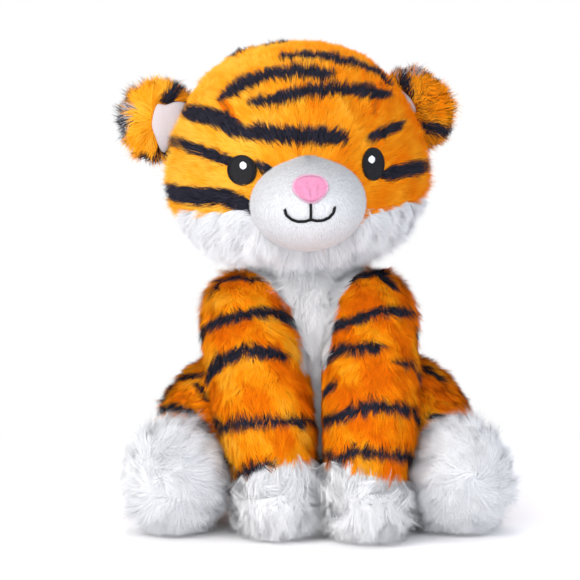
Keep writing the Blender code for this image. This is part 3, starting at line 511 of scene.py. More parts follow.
# %% Hind legs and feet
HIP_HEIGHT = 49.0 * MM
FOOT_HALF = Vector((23.5, 23.0, 27.0)) * MM
FOOT_OUT = {"right": 69.5 * MM, "left": 71.5 * MM}
FOOT_FORWARD = {"right": 62.0 * MM, "left": 59.0 * MM}
HAUNCH = (58.0 * MM, 70.0 * MM)
HOCK_WIDTH = 42.0 * MM
HOCK_SHARE = 0.84
HIPS = {}

for side, sign in SIDES.items():
    hip = Vector((sign * (torso_half(HIP_HEIGHT)[0] - 8.0 * MM), 11.0 * MM, HIP_HEIGHT))
    foot = Vector((sign * FOOT_OUT[side], -FOOT_FORWARD[side], FOOT_HALF.z - FLAT))
    reach = foot - hip
    points = [hip + Y * 14.4 * MM] + [hip + reach * share for share in (0.05, 0.32, 0.58, HOCK_SHARE, 1.0)]
    halves = [(0.36 * HAUNCH[0], 0.36 * HAUNCH[1]), (HAUNCH[0] / 2, HAUNCH[1] / 2),
              (0.52 * HAUNCH[0], 0.48 * HAUNCH[1]), (0.56 * HOCK_WIDTH, 0.64 * HOCK_WIDTH),
              (HOCK_WIDTH / 2, 0.53 * HOCK_WIDTH), (0.42 * HOCK_WIDTH, 0.42 * HOCK_WIDTH)]
    hock = hip + reach * HOCK_SHARE
    ahead = reach.normalized()
    leg_cage = cage(hip + Y * 24.0 * MM, path_rings(points, halves, X), hip + reach * 1.1, 12)
    skin(f"hind_leg_{side}_skin", f"hind_leg_{side}", leg_cage, crop=[(hock, ahead), (Vector(), -Z)])
    foot_form = ball_rings(foot, (FOOT_HALF.z, FOOT_HALF.x, FOOT_HALF.y), Z, X, Y, 12, 5)
    skin(f"hind_foot_{side}_skin", f"hind_leg_{side}", cage(*foot_form, 12),
         crop=[(hock, -ahead), (Vector(), -Z)])
    HIPS[side] = (hip, hock, foot)

print("hips", round(HIP_HEIGHT / MM), "mm above the ground")

# %% [markdown]
# The tail lies on the ground behind the toy, hidden from the camera. One long cage is used twice, cropped
# on either side of the same plane, for the banded part and the white tip.

# %% Tail
TAIL_RADIUS = 10.5 * MM
TAIL_ROOT = Vector((0.0, torso_half(24.0 * MM)[1] + 2.0 * MM, 24.0 * MM))
TAIL_PATH = ((4.0, 16.0), (15.0, 30.0), (33.0, 36.0), (52.0, 33.0), (66.0, 24.0))
tail_points = [TAIL_ROOT]
for across, behind in TAIL_PATH:
    tail_points.append(Vector((across * MM, TAIL_ROOT.y + behind * MM, TAIL_RADIUS + 1.0 * MM)))
tail_halves = [9.5 * MM] + [TAIL_RADIUS] * 4 + [8.5 * MM]
tail_into = (TAIL_ROOT - tail_points[1]).normalized() * 9.5 * MM
tail_end = tail_points[-1] + (tail_points[-1] - tail_points[-2]).normalized() * 8.5 * MM
tail_all = [TAIL_ROOT + tail_into * 0.86, TAIL_ROOT + tail_into * 0.48] + tail_points
tail_radii = [9.5 * MM * 0.56, 9.5 * MM * 0.92] + tail_halves
tail_rings = path_rings(tail_all, [(r, r) for r in tail_radii], Z)
tip_point = tail_points[3].lerp(tail_points[4], 0.3)
tip_along = (tail_points[4] - tail_points[3]).normalized()
for name, outward in (("tail_skin", tip_along), ("tail_tip_skin", -tip_along)):
    skin(name, "tail", cage(TAIL_ROOT + tail_into, tail_rings, tail_end, 8), crop=[(tip_point, outward)])
print(len(SKINS), "skins with", sum(len(s["T"]) for s in SKINS.values()), "triangles")

# %% [markdown]
# ## Stripes
#
# The black stripes are dyed into the pile before the cloth is cut. The ones that the camera sees are drawn
# on the picture plane, as thickness and points in mm, and thrown onto the form. The ones behind are laid
# round each form by the angle from the front and a station along it.

# %% Stripes seen from in front
SEEN = {
    "head_skin": (
        (6.0, ((-39.5, 231.5), (-28.0, 236.0), (-15.5, 238.5))),
        (3.5, ((-15.0, 228.0), (-5.5, 229.0), (9.0, 227.5), (20.5, 224.0), (31.0, 220.5), (36.0, 215.0))),
        (5.0, ((-46.5, 208.5), (-35.5, 214.5), (-24.5, 219.0), (-10.0, 221.0), (7.5, 219.5))),
        (5.0, ((-31.0, 205.5), (-17.5, 208.0), (-2.0, 211.5), (12.5, 212.5), (26.0, 211.0), (36.0, 209.5))),
        (6.5, ((-63.5, 201.0), (-54.5, 199.0), (-45.5, 197.0), (-37.5, 191.0))),
        (6.5, ((-35.0, 191.0), (-17.5, 190.0), (-2.0, 189.0), (14.0, 188.5))),
        (4.0, ((27.5, 188.0), (41.5, 194.0))),
        (4.5, ((-70.0, 186.5), (-57.5, 182.0), (-43.5, 177.0))),
        (3.0, ((-30.0, 174.5), (-22.0, 172.0))),
        (5.5, ((35.0, 170.0), (45.0, 172.0), (57.5, 175.0))),
        (6.5, ((-74.0, 162.0), (-58.0, 159.0), (-46.5, 159.0), (-37.5, 156.0), (-32.5, 150.0)))),
    "ear_right_skin": (
        (5.5, ((-72.5, 206.5), (-69.0, 214.0), (-65.0, 222.0))),
        (3.0, ((-60.5, 211.0), (-56.0, 217.0))),
        (2.6, ((-86.0, 180.5), (-80.0, 180.0), (-73.5, 181.0)))),
    "ear_left_skin": (
        (3.5, ((44.0, 222.0), (46.5, 215.0), (48.5, 209.0))),
        (4.5, ((52.0, 196.0), (58.0, 194.0), (66.0, 193.0)))),
    "front_leg_right_skin": (
        (2.4, ((-55.0, 110.0), (-50.0, 114.5), (-38.0, 117.0), (-27.0, 115.5))),
        (4.0, ((-55.0, 91.5), (-45.0, 96.0), (-29.5, 99.5), (-19.0, 99.0), (-6.5, 91.5))),
        (4.5, ((-52.5, 68.5), (-46.5, 75.5), (-36.0, 80.5), (-15.0, 78.0))),
        (4.0, ((-49.0, 40.5), (-41.0, 44.0), (-29.5, 46.0), (-2.0, 45.5))),
        (4.0, ((-40.5, 18.0), (-36.0, 20.5), (-29.5, 23.5), (-21.0, 25.5)))),
    "front_leg_left_skin": (
        (3.4, ((14.5, 115.0), (23.0, 118.0), (32.0, 120.0), (39.0, 112.0))),
        (4.0, ((8.5, 91.5), (20.5, 96.0), (33.5, 100.0), (49.0, 100.0))),
        (4.0, ((4.5, 75.5), (14.0, 81.0), (33.5, 82.0))),
        (3.0, ((40.5, 74.0), (49.0, 74.0))),
        (3.0, ((3.5, 59.0), (10.0, 63.0))),
        (4.5, ((3.5, 45.0), (15.0, 48.5), (28.0, 53.5), (53.0, 50.0))),
        (4.0, ((2.0, 32.0), (12.5, 27.0), (21.5, 31.5), (35.0, 29.5), (50.5, 28.5)))),
    "hind_leg_right_skin": (
        (2.3, ((-73.0, 61.5), (-65.3, 66.8), (-56.0, 68.5))),
        (2.6, ((-59.0, 63.0), (-54.0, 56.5))),
        (3.0, ((-83.0, 46.0), (-78.5, 49.3), (-72.5, 52.0), (-67.0, 51.5), (-63.5, 49.5), (-55.0, 42.0)))),
    "hind_leg_left_skin": (
        (2.8, ((48.0, 73.0), (56.5, 71.0), (64.5, 65.0))),
        (2.4, ((50.0, 82.0), (56.0, 78.0))),
        (2.0, ((58.0, 48.0), (66.5, 46.5), (75.0, 46.5)))),
}
print("stripes drawn:", sum(len(stripes) for stripes in SEEN.values()))

# %% [markdown]
# A drawn line is cut into short pieces, and the line of sight through each point gives its place on the
# form. The pieces are kept as dye marks. They lie a little outside the backing, where the hairs show their
# colour.

# %% Stripes thrown onto the forms
MARK_STEP = 1.5
SPREADS = 1.32  # the lean of the pile spreads a dyed line by this much
STANDS_OUT = 1.5 * MM
MARKS = {name: [] for name in SKINS}


def land(name, across, up):
    """Where the line of sight through a picture point meets a form or passes it, and the normal there."""
    tree = SKINS[name]["tree"]
    eye, sight = picture_ray(across, up)
    place, normal, _, _ = tree.ray_cast(eye, sight)
    if place is None:
        middle = Vector(SKINS[name]["P"].mean(axis=0))
        place, normal, _, _ = tree.find_nearest(eye + sight * (middle - eye).dot(sight))
    return place + normal * STANDS_OUT, normal


LONGEST_MARK = 9.0 * MM  # a longer piece has jumped from one side of a form to the other


def mark(name, places, thickness, widen=None):
    """Keep a stripe as short pieces with a half thickness that narrows at both ends."""
    count = len(places) - 1
    for index in range(count):
        share = (index + 0.5) / count
        narrow = min(1.0, 0.6 + 4.0 * min(share, 1.0 - share))
        if (places[index + 1] - places[index]).length < LONGEST_MARK:
            half = thickness * SPREADS * MM / 2 * narrow * (widen[index] if widen else 1.0)
            MARKS[name].append((*places[index], *places[index + 1], half))


def fine(points, step):
    """A line with points added, so that none is further than step from the next."""
    line = [Vector(points[0])]
    for near, far in zip(points, points[1:]):
        near, far = Vector(near), Vector(far)
        pieces = max(1, math.ceil((far - near).length / step))
        line += [near.lerp(far, (k + 1) / pieces) for k in range(pieces)]
    return line


for name, stripes in SEEN.items():
    for thickness, points in stripes:
        line = fine(points, MARK_STEP)
        landed = [land(name, across, up) for across, up in line]
        # A stripe on a slope is wider than it looks from the camera
        widen = []
        for index, (_, normal) in enumerate(landed):
            way = (line[min(index + 1, len(line) - 1)] - line[max(index - 1, 0)]).normalized()
            over = PICTURE_UP * way.x - PICTURE_RIGHT * way.y
            widen.append(1.0 / max(0.62, math.sqrt(max(0.0, 1.0 - normal.dot(over) ** 2))))
        mark(name, [place for place, _ in landed], thickness, widen)
print("marks seen from in front:", sum(len(m) for m in MARKS.values()))

# %% [markdown]
# The sides and the back carry the same broken bands. Each form has its own way round: the head and the
# torso turn about an upright line, and a leg or the tail turns about its own middle line.

# %% Ways round the forms


def head_way(station):
    """Middle, outward and forward directions of the head at a height in mm in its own frame."""
    turn = HEAD_POSE.to_3x3()
    return HEAD_POSE @ Vector((0, 0, station * MM)), turn @ X, turn @ -Y


def torso_way(station):
    """The same for the torso, by height."""
    return torso_middle(station * MM), X, -Y


def front_way(side):
    """The same for a front leg, by share of its length."""
    shoulder, ankle, _ = LEGS[side]
    return lambda share: (leg_point(shoulder, ankle, share), X * SIDES[side], -Y)


def hind_way(side):
    """The same for a hind leg, whose middle line runs forward: the station is a share of it."""
    hip, _, foot = HIPS[side]
    ahead = (foot - hip).normalized()
    out = (X * SIDES[side] - ahead * (X * SIDES[side]).dot(ahead)).normalized()
    return lambda share: (hip.lerp(foot, share), out, Z)


def tail_way(station):
    """The same for the tail, by its path points."""
    low = int(station)
    here, after = tail_points[low], tail_points[low + 1]
    along = (after - here).normalized()
    return here.lerp(after, station - low), along.cross(Z), Z


# %% [markdown]
# A stripe is laid by looking inward at the form from each of its points. The two sides of the toy carry the
# same bands, mirrored.

# %% Stripes behind


def lay(name, way, thickness, points):
    """Lay a stripe round a form. Points are an angle from the front in degrees and a station."""
    places = []
    for angle, station in fine(points, 6.0):
        middle, out, front = way(station)
        aim = out * math.sin(math.radians(angle)) + front * math.cos(math.radians(angle))
        place, normal, _, _ = SKINS[name]["tree"].ray_cast(middle + aim * 0.15, -aim)
        if place is not None:
            places.append(place + normal * STANDS_OUT)
    mark(name, places, thickness)


HEAD_BANDS = ((5.5, ((105, 44), (135, 38), (168, 33))), (6.0, ((98, 24), (130, 17), (165, 13))),
              (6.0, ((92, 2), (125, -4), (160, -7))), (6.0, ((92, -17), (128, -23), (158, -26))))
TORSO_BANDS = ((6.0, ((58, 100), (100, 104), (150, 108))), (6.0, ((62, 80), (105, 84), (166, 91))),
               (6.5, ((80, 60), (115, 65), (152, 69))), (6.5, ((92, 40), (120, 45), (166, 53))),
               (6.0, ((100, 20), (128, 24), (150, 27))))
for hand in (-1, 1):
    for name, way, bands in (("head_skin", head_way, HEAD_BANDS), ("torso_skin", torso_way, TORSO_BANDS)):
        for thickness, points in bands:
            lay(name, way, thickness, [(hand * angle, station) for angle, station in points])
for side in SIDES:
    for share in (0.12, 0.36, 0.62, 0.86):
        leg_marks = ((75, share), (120, share + 0.03), (172, share + 0.06))
        lay(f"front_leg_{side}_skin", front_way(side), 5.0, leg_marks)
    for thickness, points in ((5.5, ((28, 0.16), (80, 0.10), (120, 0.06))),
                              (5.5, ((40, 0.42), (85, 0.36), (128, 0.32))),
                              (5.0, ((62, 0.66), (110, 0.62)))):
        lay(f"hind_leg_{side}_skin", hind_way(side), thickness, points)
for station in (0.55, 1.5, 2.4):
    lay("tail_skin", tail_way, 6.5, ((-120, station), (0, station + 0.1), (120, station)))
for name in MARKS:
    MARKS[name] = np.array(MARKS[name], dtype=float).reshape(-1, 7)
print("marks in all:", sum(len(m) for m in MARKS.values()))

# %% [markdown]
# ## Dyed pile
#
# A hair of the cloth keeps one dye from its root to its tip. Its colour is painted a little deeper at the
# root, a painted shade where the light doesn't reach. So a small palette of root and tip colours serves every
# hair, and a hair only picks its column.

# %% Palette
PALETTE = [
    # golden orange, as on the head
    ("#DE740C", "#EC8810"), ("#E47C0E", "#F29214"), ("#E98410", "#F69A18"), ("#ED8A12", "#F9A21E"),
    ("#F09014", "#FBAA26"), ("#F39616", "#FDB230"), ("#F69C1A", "#FFBA3E"), ("#F8A21E", "#FFC34C"),
    # deep orange, as on the legs
    ("#DA5E04", "#EC7206"), ("#E46A04", "#F47E06"), ("#EC7605", "#FA8A08"), ("#F28006", "#FD960A"),
    ("#F68A08", "#FFA210"), ("#FA940A", "#FFAE1C"),
    # black with a blue cast
    ("#0D0D13", "#1E1E28"), ("#121219", "#282833"), ("#17171F", "#32323E"), ("#1C1C24", "#3E3E4C"),
    # brown, where the black ends
    ("#2E1C10", "#5E3A18"), ("#40240E", "#85501A"), ("#54300E", "#AA6418"),
    # white
    ("#C9CCD3", "#D9DCE2"), ("#D0D3D9", "#DFE2E7"), ("#D7D9DF", "#E5E7EB"), ("#DDDFE4", "#EAECEF"),
    ("#E3E5E9", "#EFF0F3"), ("#E9EAED", "#F4F5F7"), ("#EFF0F3", "#FAFAFC"),
    # grey, the worn outer hairs of the ears
    ("#6A6A74", "#A8A8B2"), ("#8A8A94", "#C8C8D0"),
]
COLUMNS = len(PALETTE)
# Painted shade: each root colour is a little deeper than its tip colour.
ROOTS = np.array([linear(pair[0]) for pair in PALETTE])
TIPS = np.array([linear(pair[1]) for pair in PALETTE])
# First column and number of columns of each dye
DEEP, BLACK, BROWN, WHITE, GREY = (8, 6), (14, 4), (18, 3), (21, 7), (28, 2)
print(COLUMNS, "dyes")

# %% [markdown]
# No two handfuls of pile are the same. Whatever varies over the coat, such as tone, length or lean, follows
# a few added waves with seeded directions. They are smooth over space, need no image, and come out the same
# on every run.

# %% Seeded change over space


def waves(size_mm, seed):
    """Seven seeded waves about size_mm long."""
    rng = np.random.default_rng(seed)
    ways = rng.normal(size=(7, 3))
    lengths = size_mm * MM * rng.uniform(0.7, 1.5, 7)
    ways *= (2.0 * math.pi / lengths / np.linalg.norm(ways, axis=1))[:, None]
    return ways, rng.uniform(0.0, 6.28, 7)


def drift(places, size_mm, seed):
    """A smooth, seeded change over space, from about -1 to 1, whose waves are about size_mm long."""
    ways, phases = waves(size_mm, seed)
    return np.sin(places @ ways.T + phases).sum(axis=1) / 2.6


def slope(places, size_mm, seed):
    """The steepness of the same change, as directions about one long."""
    ways, phases = waves(size_mm, seed)
    return np.cos(places @ ways.T + phases) @ (ways * size_mm * MM / 2.0 / math.pi) / 2.6


# %% [markdown]
# A hair is in a stripe where its distance to one of the form's marks is less than that mark's half
# thickness. The distances to all marks are measured at once, for some thousand hairs at a time.

# %% Depth in a stripe


def stripe_depth(name, places):
    """How far each place is inside the nearest stripe of a skin, in metres. Outside is below zero."""
    marks = MARKS[name]
    best = np.full(len(places), -1.0)
    if len(marks) == 0:
        return best
    near, far, half = marks[:, 0:3], marks[:, 3:6], marks[:, 6]
    along = far - near
    square = (along ** 2).sum(axis=1) + 1e-12
    for start in range(0, len(places), 8000):
        part = places[start:start + 8000, None, :] - near[None]
        share = np.clip((part * along[None]).sum(axis=2) / square[None], 0.0, 1.0)
        gap = np.linalg.norm(part - share[..., None] * along[None], axis=2)
        best[start:start + 8000] = (half[None] - gap).max(axis=1)
    return best


# %% [markdown]
# A chooser picks a dye for every hair. On striped pile the orange wanders through a ladder of tones in soft
# patches, a hair inside a stripe is black, and many at its edge are brown, where the two dyes met. The orange
# is also painted deeper toward +X, the toy's left: painted shade on the side away from the lamp.

# %% Choosers of dye
PATCH_MM, FLECK_MM = 20.0, 5.0
FLECKS, SCATTER = 1.2, 1.3
EDGE_RAGGED, EDGE_SCATTER = 0.45, 0.38
EDGE_BROWN_MM, EDGE_BROWN_SHARE = 0.75, 0.55


def dyed(tones, low, patch, across):
    """A chooser for striped pile: a ladder of tones, its middle, its patches and how much it deepens to +X,
    as painted shade away from the lamp.
    """
    ladder = np.array(tones)

    def choose(name, places, rng):
        tone = low + patch * drift(places, PATCH_MM, 5) + FLECKS * drift(places, FLECK_MM, 6)
        tone += rng.normal(0.0, SCATTER, len(places))
        # Painted shade: the tone drops toward +X, the side away from the lamp.
        tone -= across * np.clip(places[:, 0] / (50.0 * MM), -0.9, 1.0)
        column = ladder[np.clip(tone, 0, len(ladder) - 1).astype(int)]
        depth = stripe_depth(name, places) / MM + EDGE_RAGGED * drift(places, 4.0, 7)
        depth += rng.normal(0.0, EDGE_SCATTER, len(places))
        brown = (depth > -EDGE_BROWN_MM) & (rng.random(len(places)) < EDGE_BROWN_SHARE)
        column[brown] = BROWN[0] + rng.integers(0, BROWN[1], brown.sum())
        black = depth > 0.0
        column[black] = BLACK[0] + rng.integers(0, BLACK[1], black.sum())
        return column
    return choose


# The last number of each chooser is its painted shade toward +X.
golden_striped = dyed((9, 10, 0, 1, 2, 3, 4, 5, 6, 7), 5.3, 1.7, 3.3)
deep_striped = dyed((8, 9, 10, 11, 12, 13, 4, 5, 6), 2.4, 2.5, 1.0)
ear_striped = dyed((10, 11, 12, 3, 4, 5, 6), 3.6, 2.0, 1.6)


def whites(low):
    """A chooser of columns for white pile, in soft patches. Its base tone low is set for each region as
    painted light and shade: higher where the form lies in shade, lower where the lamp falls full.
    """
    def choose(name, places, rng):
        tone = low + 0.6 * drift(places, 12.0, 8) + rng.normal(0.0, 0.9, len(places))
        return WHITE[0] + np.clip(tone, 0, WHITE[1] - 1).astype(int)
    return choose


white_only = whites(3.6)

# %% [markdown]
# ## Growing pile
#
# Real pile is many thousands of fine hairs. A hair system would be quick to set up, but it doesn't leave
# with the mesh, so each hair here is a flat needle of mesh. Its root is sown on the skin by area, wherever
# the skin isn't a lid or buried deep in another form.

# %% Roots


def unit(vectors):
    """Rows of an array made one long."""
    return vectors / np.maximum(np.linalg.norm(vectors, axis=1, keepdims=True), 1e-9)


def sow(name, density, seed):
    """Scatter roots over a skin, at density hairs to the square millimetre."""
    data = SKINS[name]
    rng = np.random.default_rng(seed)
    faces = data["T"][data["open"]]
    a, b, c = (data["P"][faces[:, k]] for k in range(3))
    area = np.linalg.norm(np.cross(b - a, c - a), axis=1) / 2
    count = int(area.sum() / MM ** 2 * density)
    face = rng.choice(len(faces), count, p=area / area.sum())
    one, two = np.sqrt(rng.random(count)), rng.random(count)
    shares = np.stack([1.0 - one, one * (1.0 - two), one * two], axis=1)
    corners = faces[face]
    roots = (data["P"][corners] * shares[..., None]).sum(axis=1)
    normals = unit((data["N"][corners] * shares[..., None]).sum(axis=1))
    hidden = (data["buried"][corners] * shares).sum(axis=1)
    return roots, normals, hidden, rng


# %% [markdown]
# Cloth that lies inside another form can't be seen, so it needs no pile. How deep each point of a skin is
# buried is found once, from the nearest point of every other skin that it may be in.

# %% Buried cloth


def bury():
    """Find how deep each point of a skin lies inside the other skins."""
    boxes = {name: (s["P"].min(axis=0), s["P"].max(axis=0)) for name, s in SKINS.items()}
    for name, data in SKINS.items():
        depth = np.full(len(data["P"]), -1.0)
        low, high = boxes[name]
        for other, (other_low, other_high) in boxes.items():
            if other == name or (low > other_high).any() or (high < other_low).any():
                continue
            inside = ((data["P"] > other_low) & (data["P"] < other_high)).all(axis=1)
            tree = SKINS[other]["tree"]
            for index in np.nonzero(inside)[0]:
                point = Vector(data["P"][index])
                place, normal, _, _ = tree.find_nearest(point)
                depth[index] = max(depth[index], (place - point).dot(normal))
        data["buried"] = depth


bury()
print("most buried:", round(max(data["buried"].max() for data in SKINS.values()) / MM, 1), "mm")

# %% [markdown]
# Hairs lean together in tufts, because the fibres of brushed pile cling to each other. Some hairs are drawn
# as the heads of tufts, and each hair is pulled toward the head nearest to its root.

# %% Tufts


def gather(roots, middles, tips, tuft, pull, rng):
    """Pull hairs together in tufts of about so many hairs."""
    count = len(roots)
    finder = KDTree(max(1, count // tuft))
    heads = rng.choice(count, max(1, count // tuft), replace=False)
    for index, head in enumerate(heads):
        finder.insert(roots[head], index)
    finder.balance()
    owner = heads[np.array([finder.find(root)[1] for root in roots])]
    hold = pull * rng.uniform(0.5, 1.25, count)[:, None]
    return middles + (middles[owner] - middles) * hold * 0.35, tips + (tips[owner] - tips) * hold


# %% [markdown]
# A hair leans the way the cloth was brushed, turned a little by the seeded waves. Each needle keeps the
# shading direction of the cloth under it, so that the whole coat takes light as one soft surface.

# %% Hairs
GROUND_ROOM = 0.5 * MM
MOST_HAIRS = {False: 65000, True: 21000}  # in one mesh, by whether the hairs are bent, to keep meshes light


def grow(name, source, flow, columns, density=4.0, length=5.0, lean=24.0, width=0.3, bent=False, seed=1,
         keep=None, shape=None, tuft=14, pull=0.45, deep=2.5, lay_lean=12.0, trim=None, noise=0.22, lump=9.0,
         relief=0.3, swirl=0.35, curl=9.0, uneven=0.14, curtain=-1.0, cap=1.0):
    """Grow pile on a skin. Lengths are in mm and angles in degrees from the cloth."""
    roots, normals, hidden, rng = sow(source, density, seed)
    kept = hidden < deep * MM
    if keep is not None:
        kept &= keep(roots, normals, rng)
    roots, normals = roots[kept], normals[kept]
    count = len(roots)
    way = flow(roots, normals)
    way = unit(way - normals * (way * normals).sum(axis=1, keepdims=True))
    cross = np.cross(normals, way)
    turn = rng.normal(0.0, noise, count)[:, None] + swirl * drift(roots, curl, seed + 50)[:, None]
    way = unit(way * np.cos(turn) + cross * np.sin(turn))
    size = length * MM * np.clip(rng.normal(1.0, 0.16, count), 0.5, 1.5)
    size *= 1.0 + uneven * drift(roots, 7.0, seed + 60)
    if shape is not None:
        size *= shape(roots, normals)
    rise = np.radians(lean + rng.normal(0.0, 7.0, count) + 8.0 * drift(roots, lump, seed + 70))[:, None]
    first = normals * np.sin(rise) + way * np.cos(rise)
    late = math.radians(lay_lean)
    second = normals * math.sin(late) + way * math.cos(late)
    middles = roots + first * size[:, None] * 0.5
    tips = middles + (second if bent else first) * size[:, None] * 0.5
    middles, tips = gather(roots, middles, tips, tuft, pull, rng)
    if trim is not None:
        share = trim(roots, tips)[:, None]
        middles = roots + (middles - roots) * share
        tips = roots + (tips - roots) * share
    middles[:, 2] = np.maximum(middles[:, 2], GROUND_ROOM)
    tips[:, 2] = np.maximum(tips[:, 2], GROUND_ROOM)
    column = columns(source, roots * 0.4 + tips * 0.6, rng)
    # Hanging pile makes a curtain, which doesn't face down as the cloth under it does
    faces = unit(np.stack([normals[:, 0], normals[:, 1], np.clip(normals[:, 2], curtain, cap)], axis=1))
    facing = faces - relief * slope(roots, lump, seed + 70) + 0.15 * way + rng.normal(0.0, 0.1, (count, 3))
    order = np.argsort(roots[:, 1], kind="stable")
    pieces = math.ceil(count / MOST_HAIRS[bent])
    made = []
    for piece in range(pieces):
        pick = order[piece * count // pieces:(piece + 1) * count // pieces]
        label = name if pieces == 1 else f"{name}_{'abcdef'[piece]}"
        made.append(needles(label, roots[pick], middles[pick], tips[pick], unit(facing[pick]), normals[pick],
                            column[pick], width * MM, bent, rng))
        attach(made[-1], SKINS[source]["body"])
    print(name, count, "hairs", count * (9 if bent else 3), "triangles")
    return made


# %% [markdown]
# All needles of one piece go into one mesh. Adding them one by one would take minutes, so the points and
# faces of all of them are laid out as arrays and handed over at once. The dye, with its painted shade at the
# root, is kept in a colour attribute, and a flat map places every needle in its dye's column.

# %% Needles


def needles(name, roots, middles, tips, facing, normals, column, width, bent, rng):
    """One mesh of flat needles, open only at the root, with their colours, painted deeper at the root as
    shade, and their map.
    """
    count = len(roots)
    along = unit(tips - roots)
    side = unit(np.cross(along, normals))
    up = np.cross(side, along)
    roll = rng.normal(0.0, 0.25, count)[:, None]
    side, up = side * np.cos(roll) + up * np.sin(roll), up * np.cos(roll) - side * np.sin(roll)
    half = (width / 2 * rng.uniform(0.75, 1.25, count))[:, None]
    left, right, top = -side * half, side * half, up * half * 0.35
    if bent:
        corners = [roots + left, roots + right, roots + top,
                   middles + left * 0.8, middles + right * 0.8, middles + top * 0.8, tips]
        heights = [0.0, 0.0, 0.04, 0.5, 0.5, 0.54, 1.0]
        faces = [(1, 4, 5), (1, 5, 2), (0, 2, 5), (0, 5, 3), (0, 3, 4), (0, 4, 1),
                 (4, 6, 5), (3, 5, 6), (3, 6, 4)]
        shifts = [-1, 1, 0, -1, 1, 0, 0]
    else:
        corners = [roots + left, roots + right, roots + top, tips]
        heights = [0.0, 0.0, 0.04, 1.0]
        faces = [(1, 3, 2), (0, 2, 3), (0, 3, 1)]
        shifts = [-1, 1, 0, 0]
    each = len(corners)
    places = np.stack(corners, axis=1).reshape(-1, 3)
    triangles = (np.arange(count)[:, None, None] * each + np.array(faces)[None]).reshape(-1, 3)
    mesh = bpy.data.meshes.new(name)
    mesh.vertices.add(len(places))
    mesh.vertices.foreach_set("co", places.astype(np.float32).ravel())
    mesh.loops.add(len(triangles) * 3)
    mesh.loops.foreach_set("vertex_index", triangles.astype(np.int32).ravel())
    mesh.polygons.add(len(triangles))
    mesh.polygons.foreach_set("loop_start", np.arange(0, len(triangles) * 3, 3, dtype=np.int32))
    mesh.update(calc_edges=True)
    height = np.tile(np.array(heights), count)
    shift = np.tile(np.array(shifts), count)
    owner = np.repeat(column, each)
    # Painted shade: each needle runs from its deeper root colour to its tip colour.
    dye_and_shade = np.ones((len(places), 4), dtype=np.float32)
    dye_and_shade[:, :3] = ROOTS[owner] + (TIPS[owner] - ROOTS[owner]) * height[:, None]
    colours = mesh.attributes.new("Pile", "FLOAT_COLOR", "POINT")
    colours.data.foreach_set("color", dye_and_shade.ravel())
    across = (owner + 0.5 + 0.3 * shift) / COLUMNS
    spots = np.stack([across, 0.02 + 0.96 * height], axis=1)[triangles.ravel()]
    layer = mesh.uv_layers.new(name="OFBake")
    layer.uv.foreach_set("vector", spots.astype(np.float32).ravel())
    spread = np.repeat(facing, each, axis=0) + shift[:, None] * np.repeat(side, each, axis=0) * 0.2
    mesh.normals_split_custom_set_from_vertices(unit(spread).astype(np.float32))
    return in_scene(name, mesh)


# %% [markdown]
# ## The coat, region by region
#
# Every region of the coat has a brushing direction. It could be painted by hand. Here it is a small
# function of place, such as away from a point, which needs no painting and fits any form.

# %% Brushing directions
FACE_TURN = np.array(HEAD_POSE.to_3x3())
FACE_PLACE = np.array(HEAD_POSE.translation)


def head_frame(places):
    """Places in the head's own frame, in mm: right, back and up."""
    return (places - FACE_PLACE) @ FACE_TURN / MM


def away_from(point, droop=0.0):
    """A brushing direction away from a point, with some droop."""
    centre = np.array(point)
    return lambda places, normals: unit(places - centre) + np.array([0.0, 0.0, -droop])


def toward(*vector):
    """A brushing direction that is the same everywhere."""
    way = np.array(vector, dtype=float)
    return lambda places, normals: np.repeat(way[None], len(places), axis=0)


muzzle_middle = np.array(HEAD_POSE @ (MUZZLE_CENTRE + Z * 0.002))


def head_flow(places, normals):
    """Away from the muzzle in front, and down behind."""
    own = head_frame(places)
    out = unit(places - muzzle_middle)
    behind = np.clip((own[:, 1] + 5.0) / 35.0, 0.0, 1.0)[:, None]
    return out * (1.0 - behind) + np.array([0.0, 0.0, -1.0]) * behind * 1.2


# %% [markdown]
# The lower face is a band of long white pile that runs from ear to ear under the chin. Its upper edge is
# drawn on the picture plane and read back as a height for every way round the head, so that it goes on
# behind.

# %% Where the white cheeks are
CHEEK_LINE = ((-68.5, 151.0), (-60.0, 152.5), (-50.0, 151.5), (-40.0, 152.0), (-32.5, 152.0),
              (-20.0, 142.0), (-6.0, 137.0), (10.0, 139.0), (22.0, 148.0), (26.5, 153.0), (35.0, 153.0),
              (42.5, 156.0), (55.0, 160.0))
cheek_spots = head_frame(np.array([land("head_skin", *point)[0] for point in CHEEK_LINE]))
cheek_angles = np.degrees(np.arctan2(cheek_spots[:, 0], -cheek_spots[:, 1]))
cheek_order = np.argsort(cheek_angles)


def cheek_edge(own):
    """Upper edge of the white cheeks by the way round the head, in mm in the head's own frame."""
    angles = np.degrees(np.arctan2(own[:, 0], -own[:, 1]))
    return np.interp(angles, cheek_angles[cheek_order], cheek_spots[cheek_order, 2])


CHEEK_BACK = 20.0
TAPER_START, TAPER_SPAN = -6.0, 26.0


def on_cheek(roots, ragged=0.0):
    """Which roots are on the white cheek band, which tapers down and stops behind the ears."""
    own = head_frame(roots)
    wave = ragged * drift(roots, 6.0, 17)
    taper = np.clip(own[:, 1] - TAPER_START, 0.0, 40.0) ** 2 / TAPER_SPAN
    return (own[:, 2] < cheek_edge(own) + wave - taper) & (own[:, 1] < CHEEK_BACK)


print("cheek band from", round(cheek_angles.min()), "to", round(cheek_angles.max()), "degrees round the head")

# %% [markdown]
# The stitched eyes are free of pile, so hairs don't root there, and hairs that would reach over an eye are
# cut back, as a maker trims them with scissors.

# %% Room for the eyes
EYES = {"right": (-31.0, -6.2), "left": (32.6, -5.8)}
EYE_HALF = {"right": (6.5, 7.1), "left": (5.3, 7.7)}


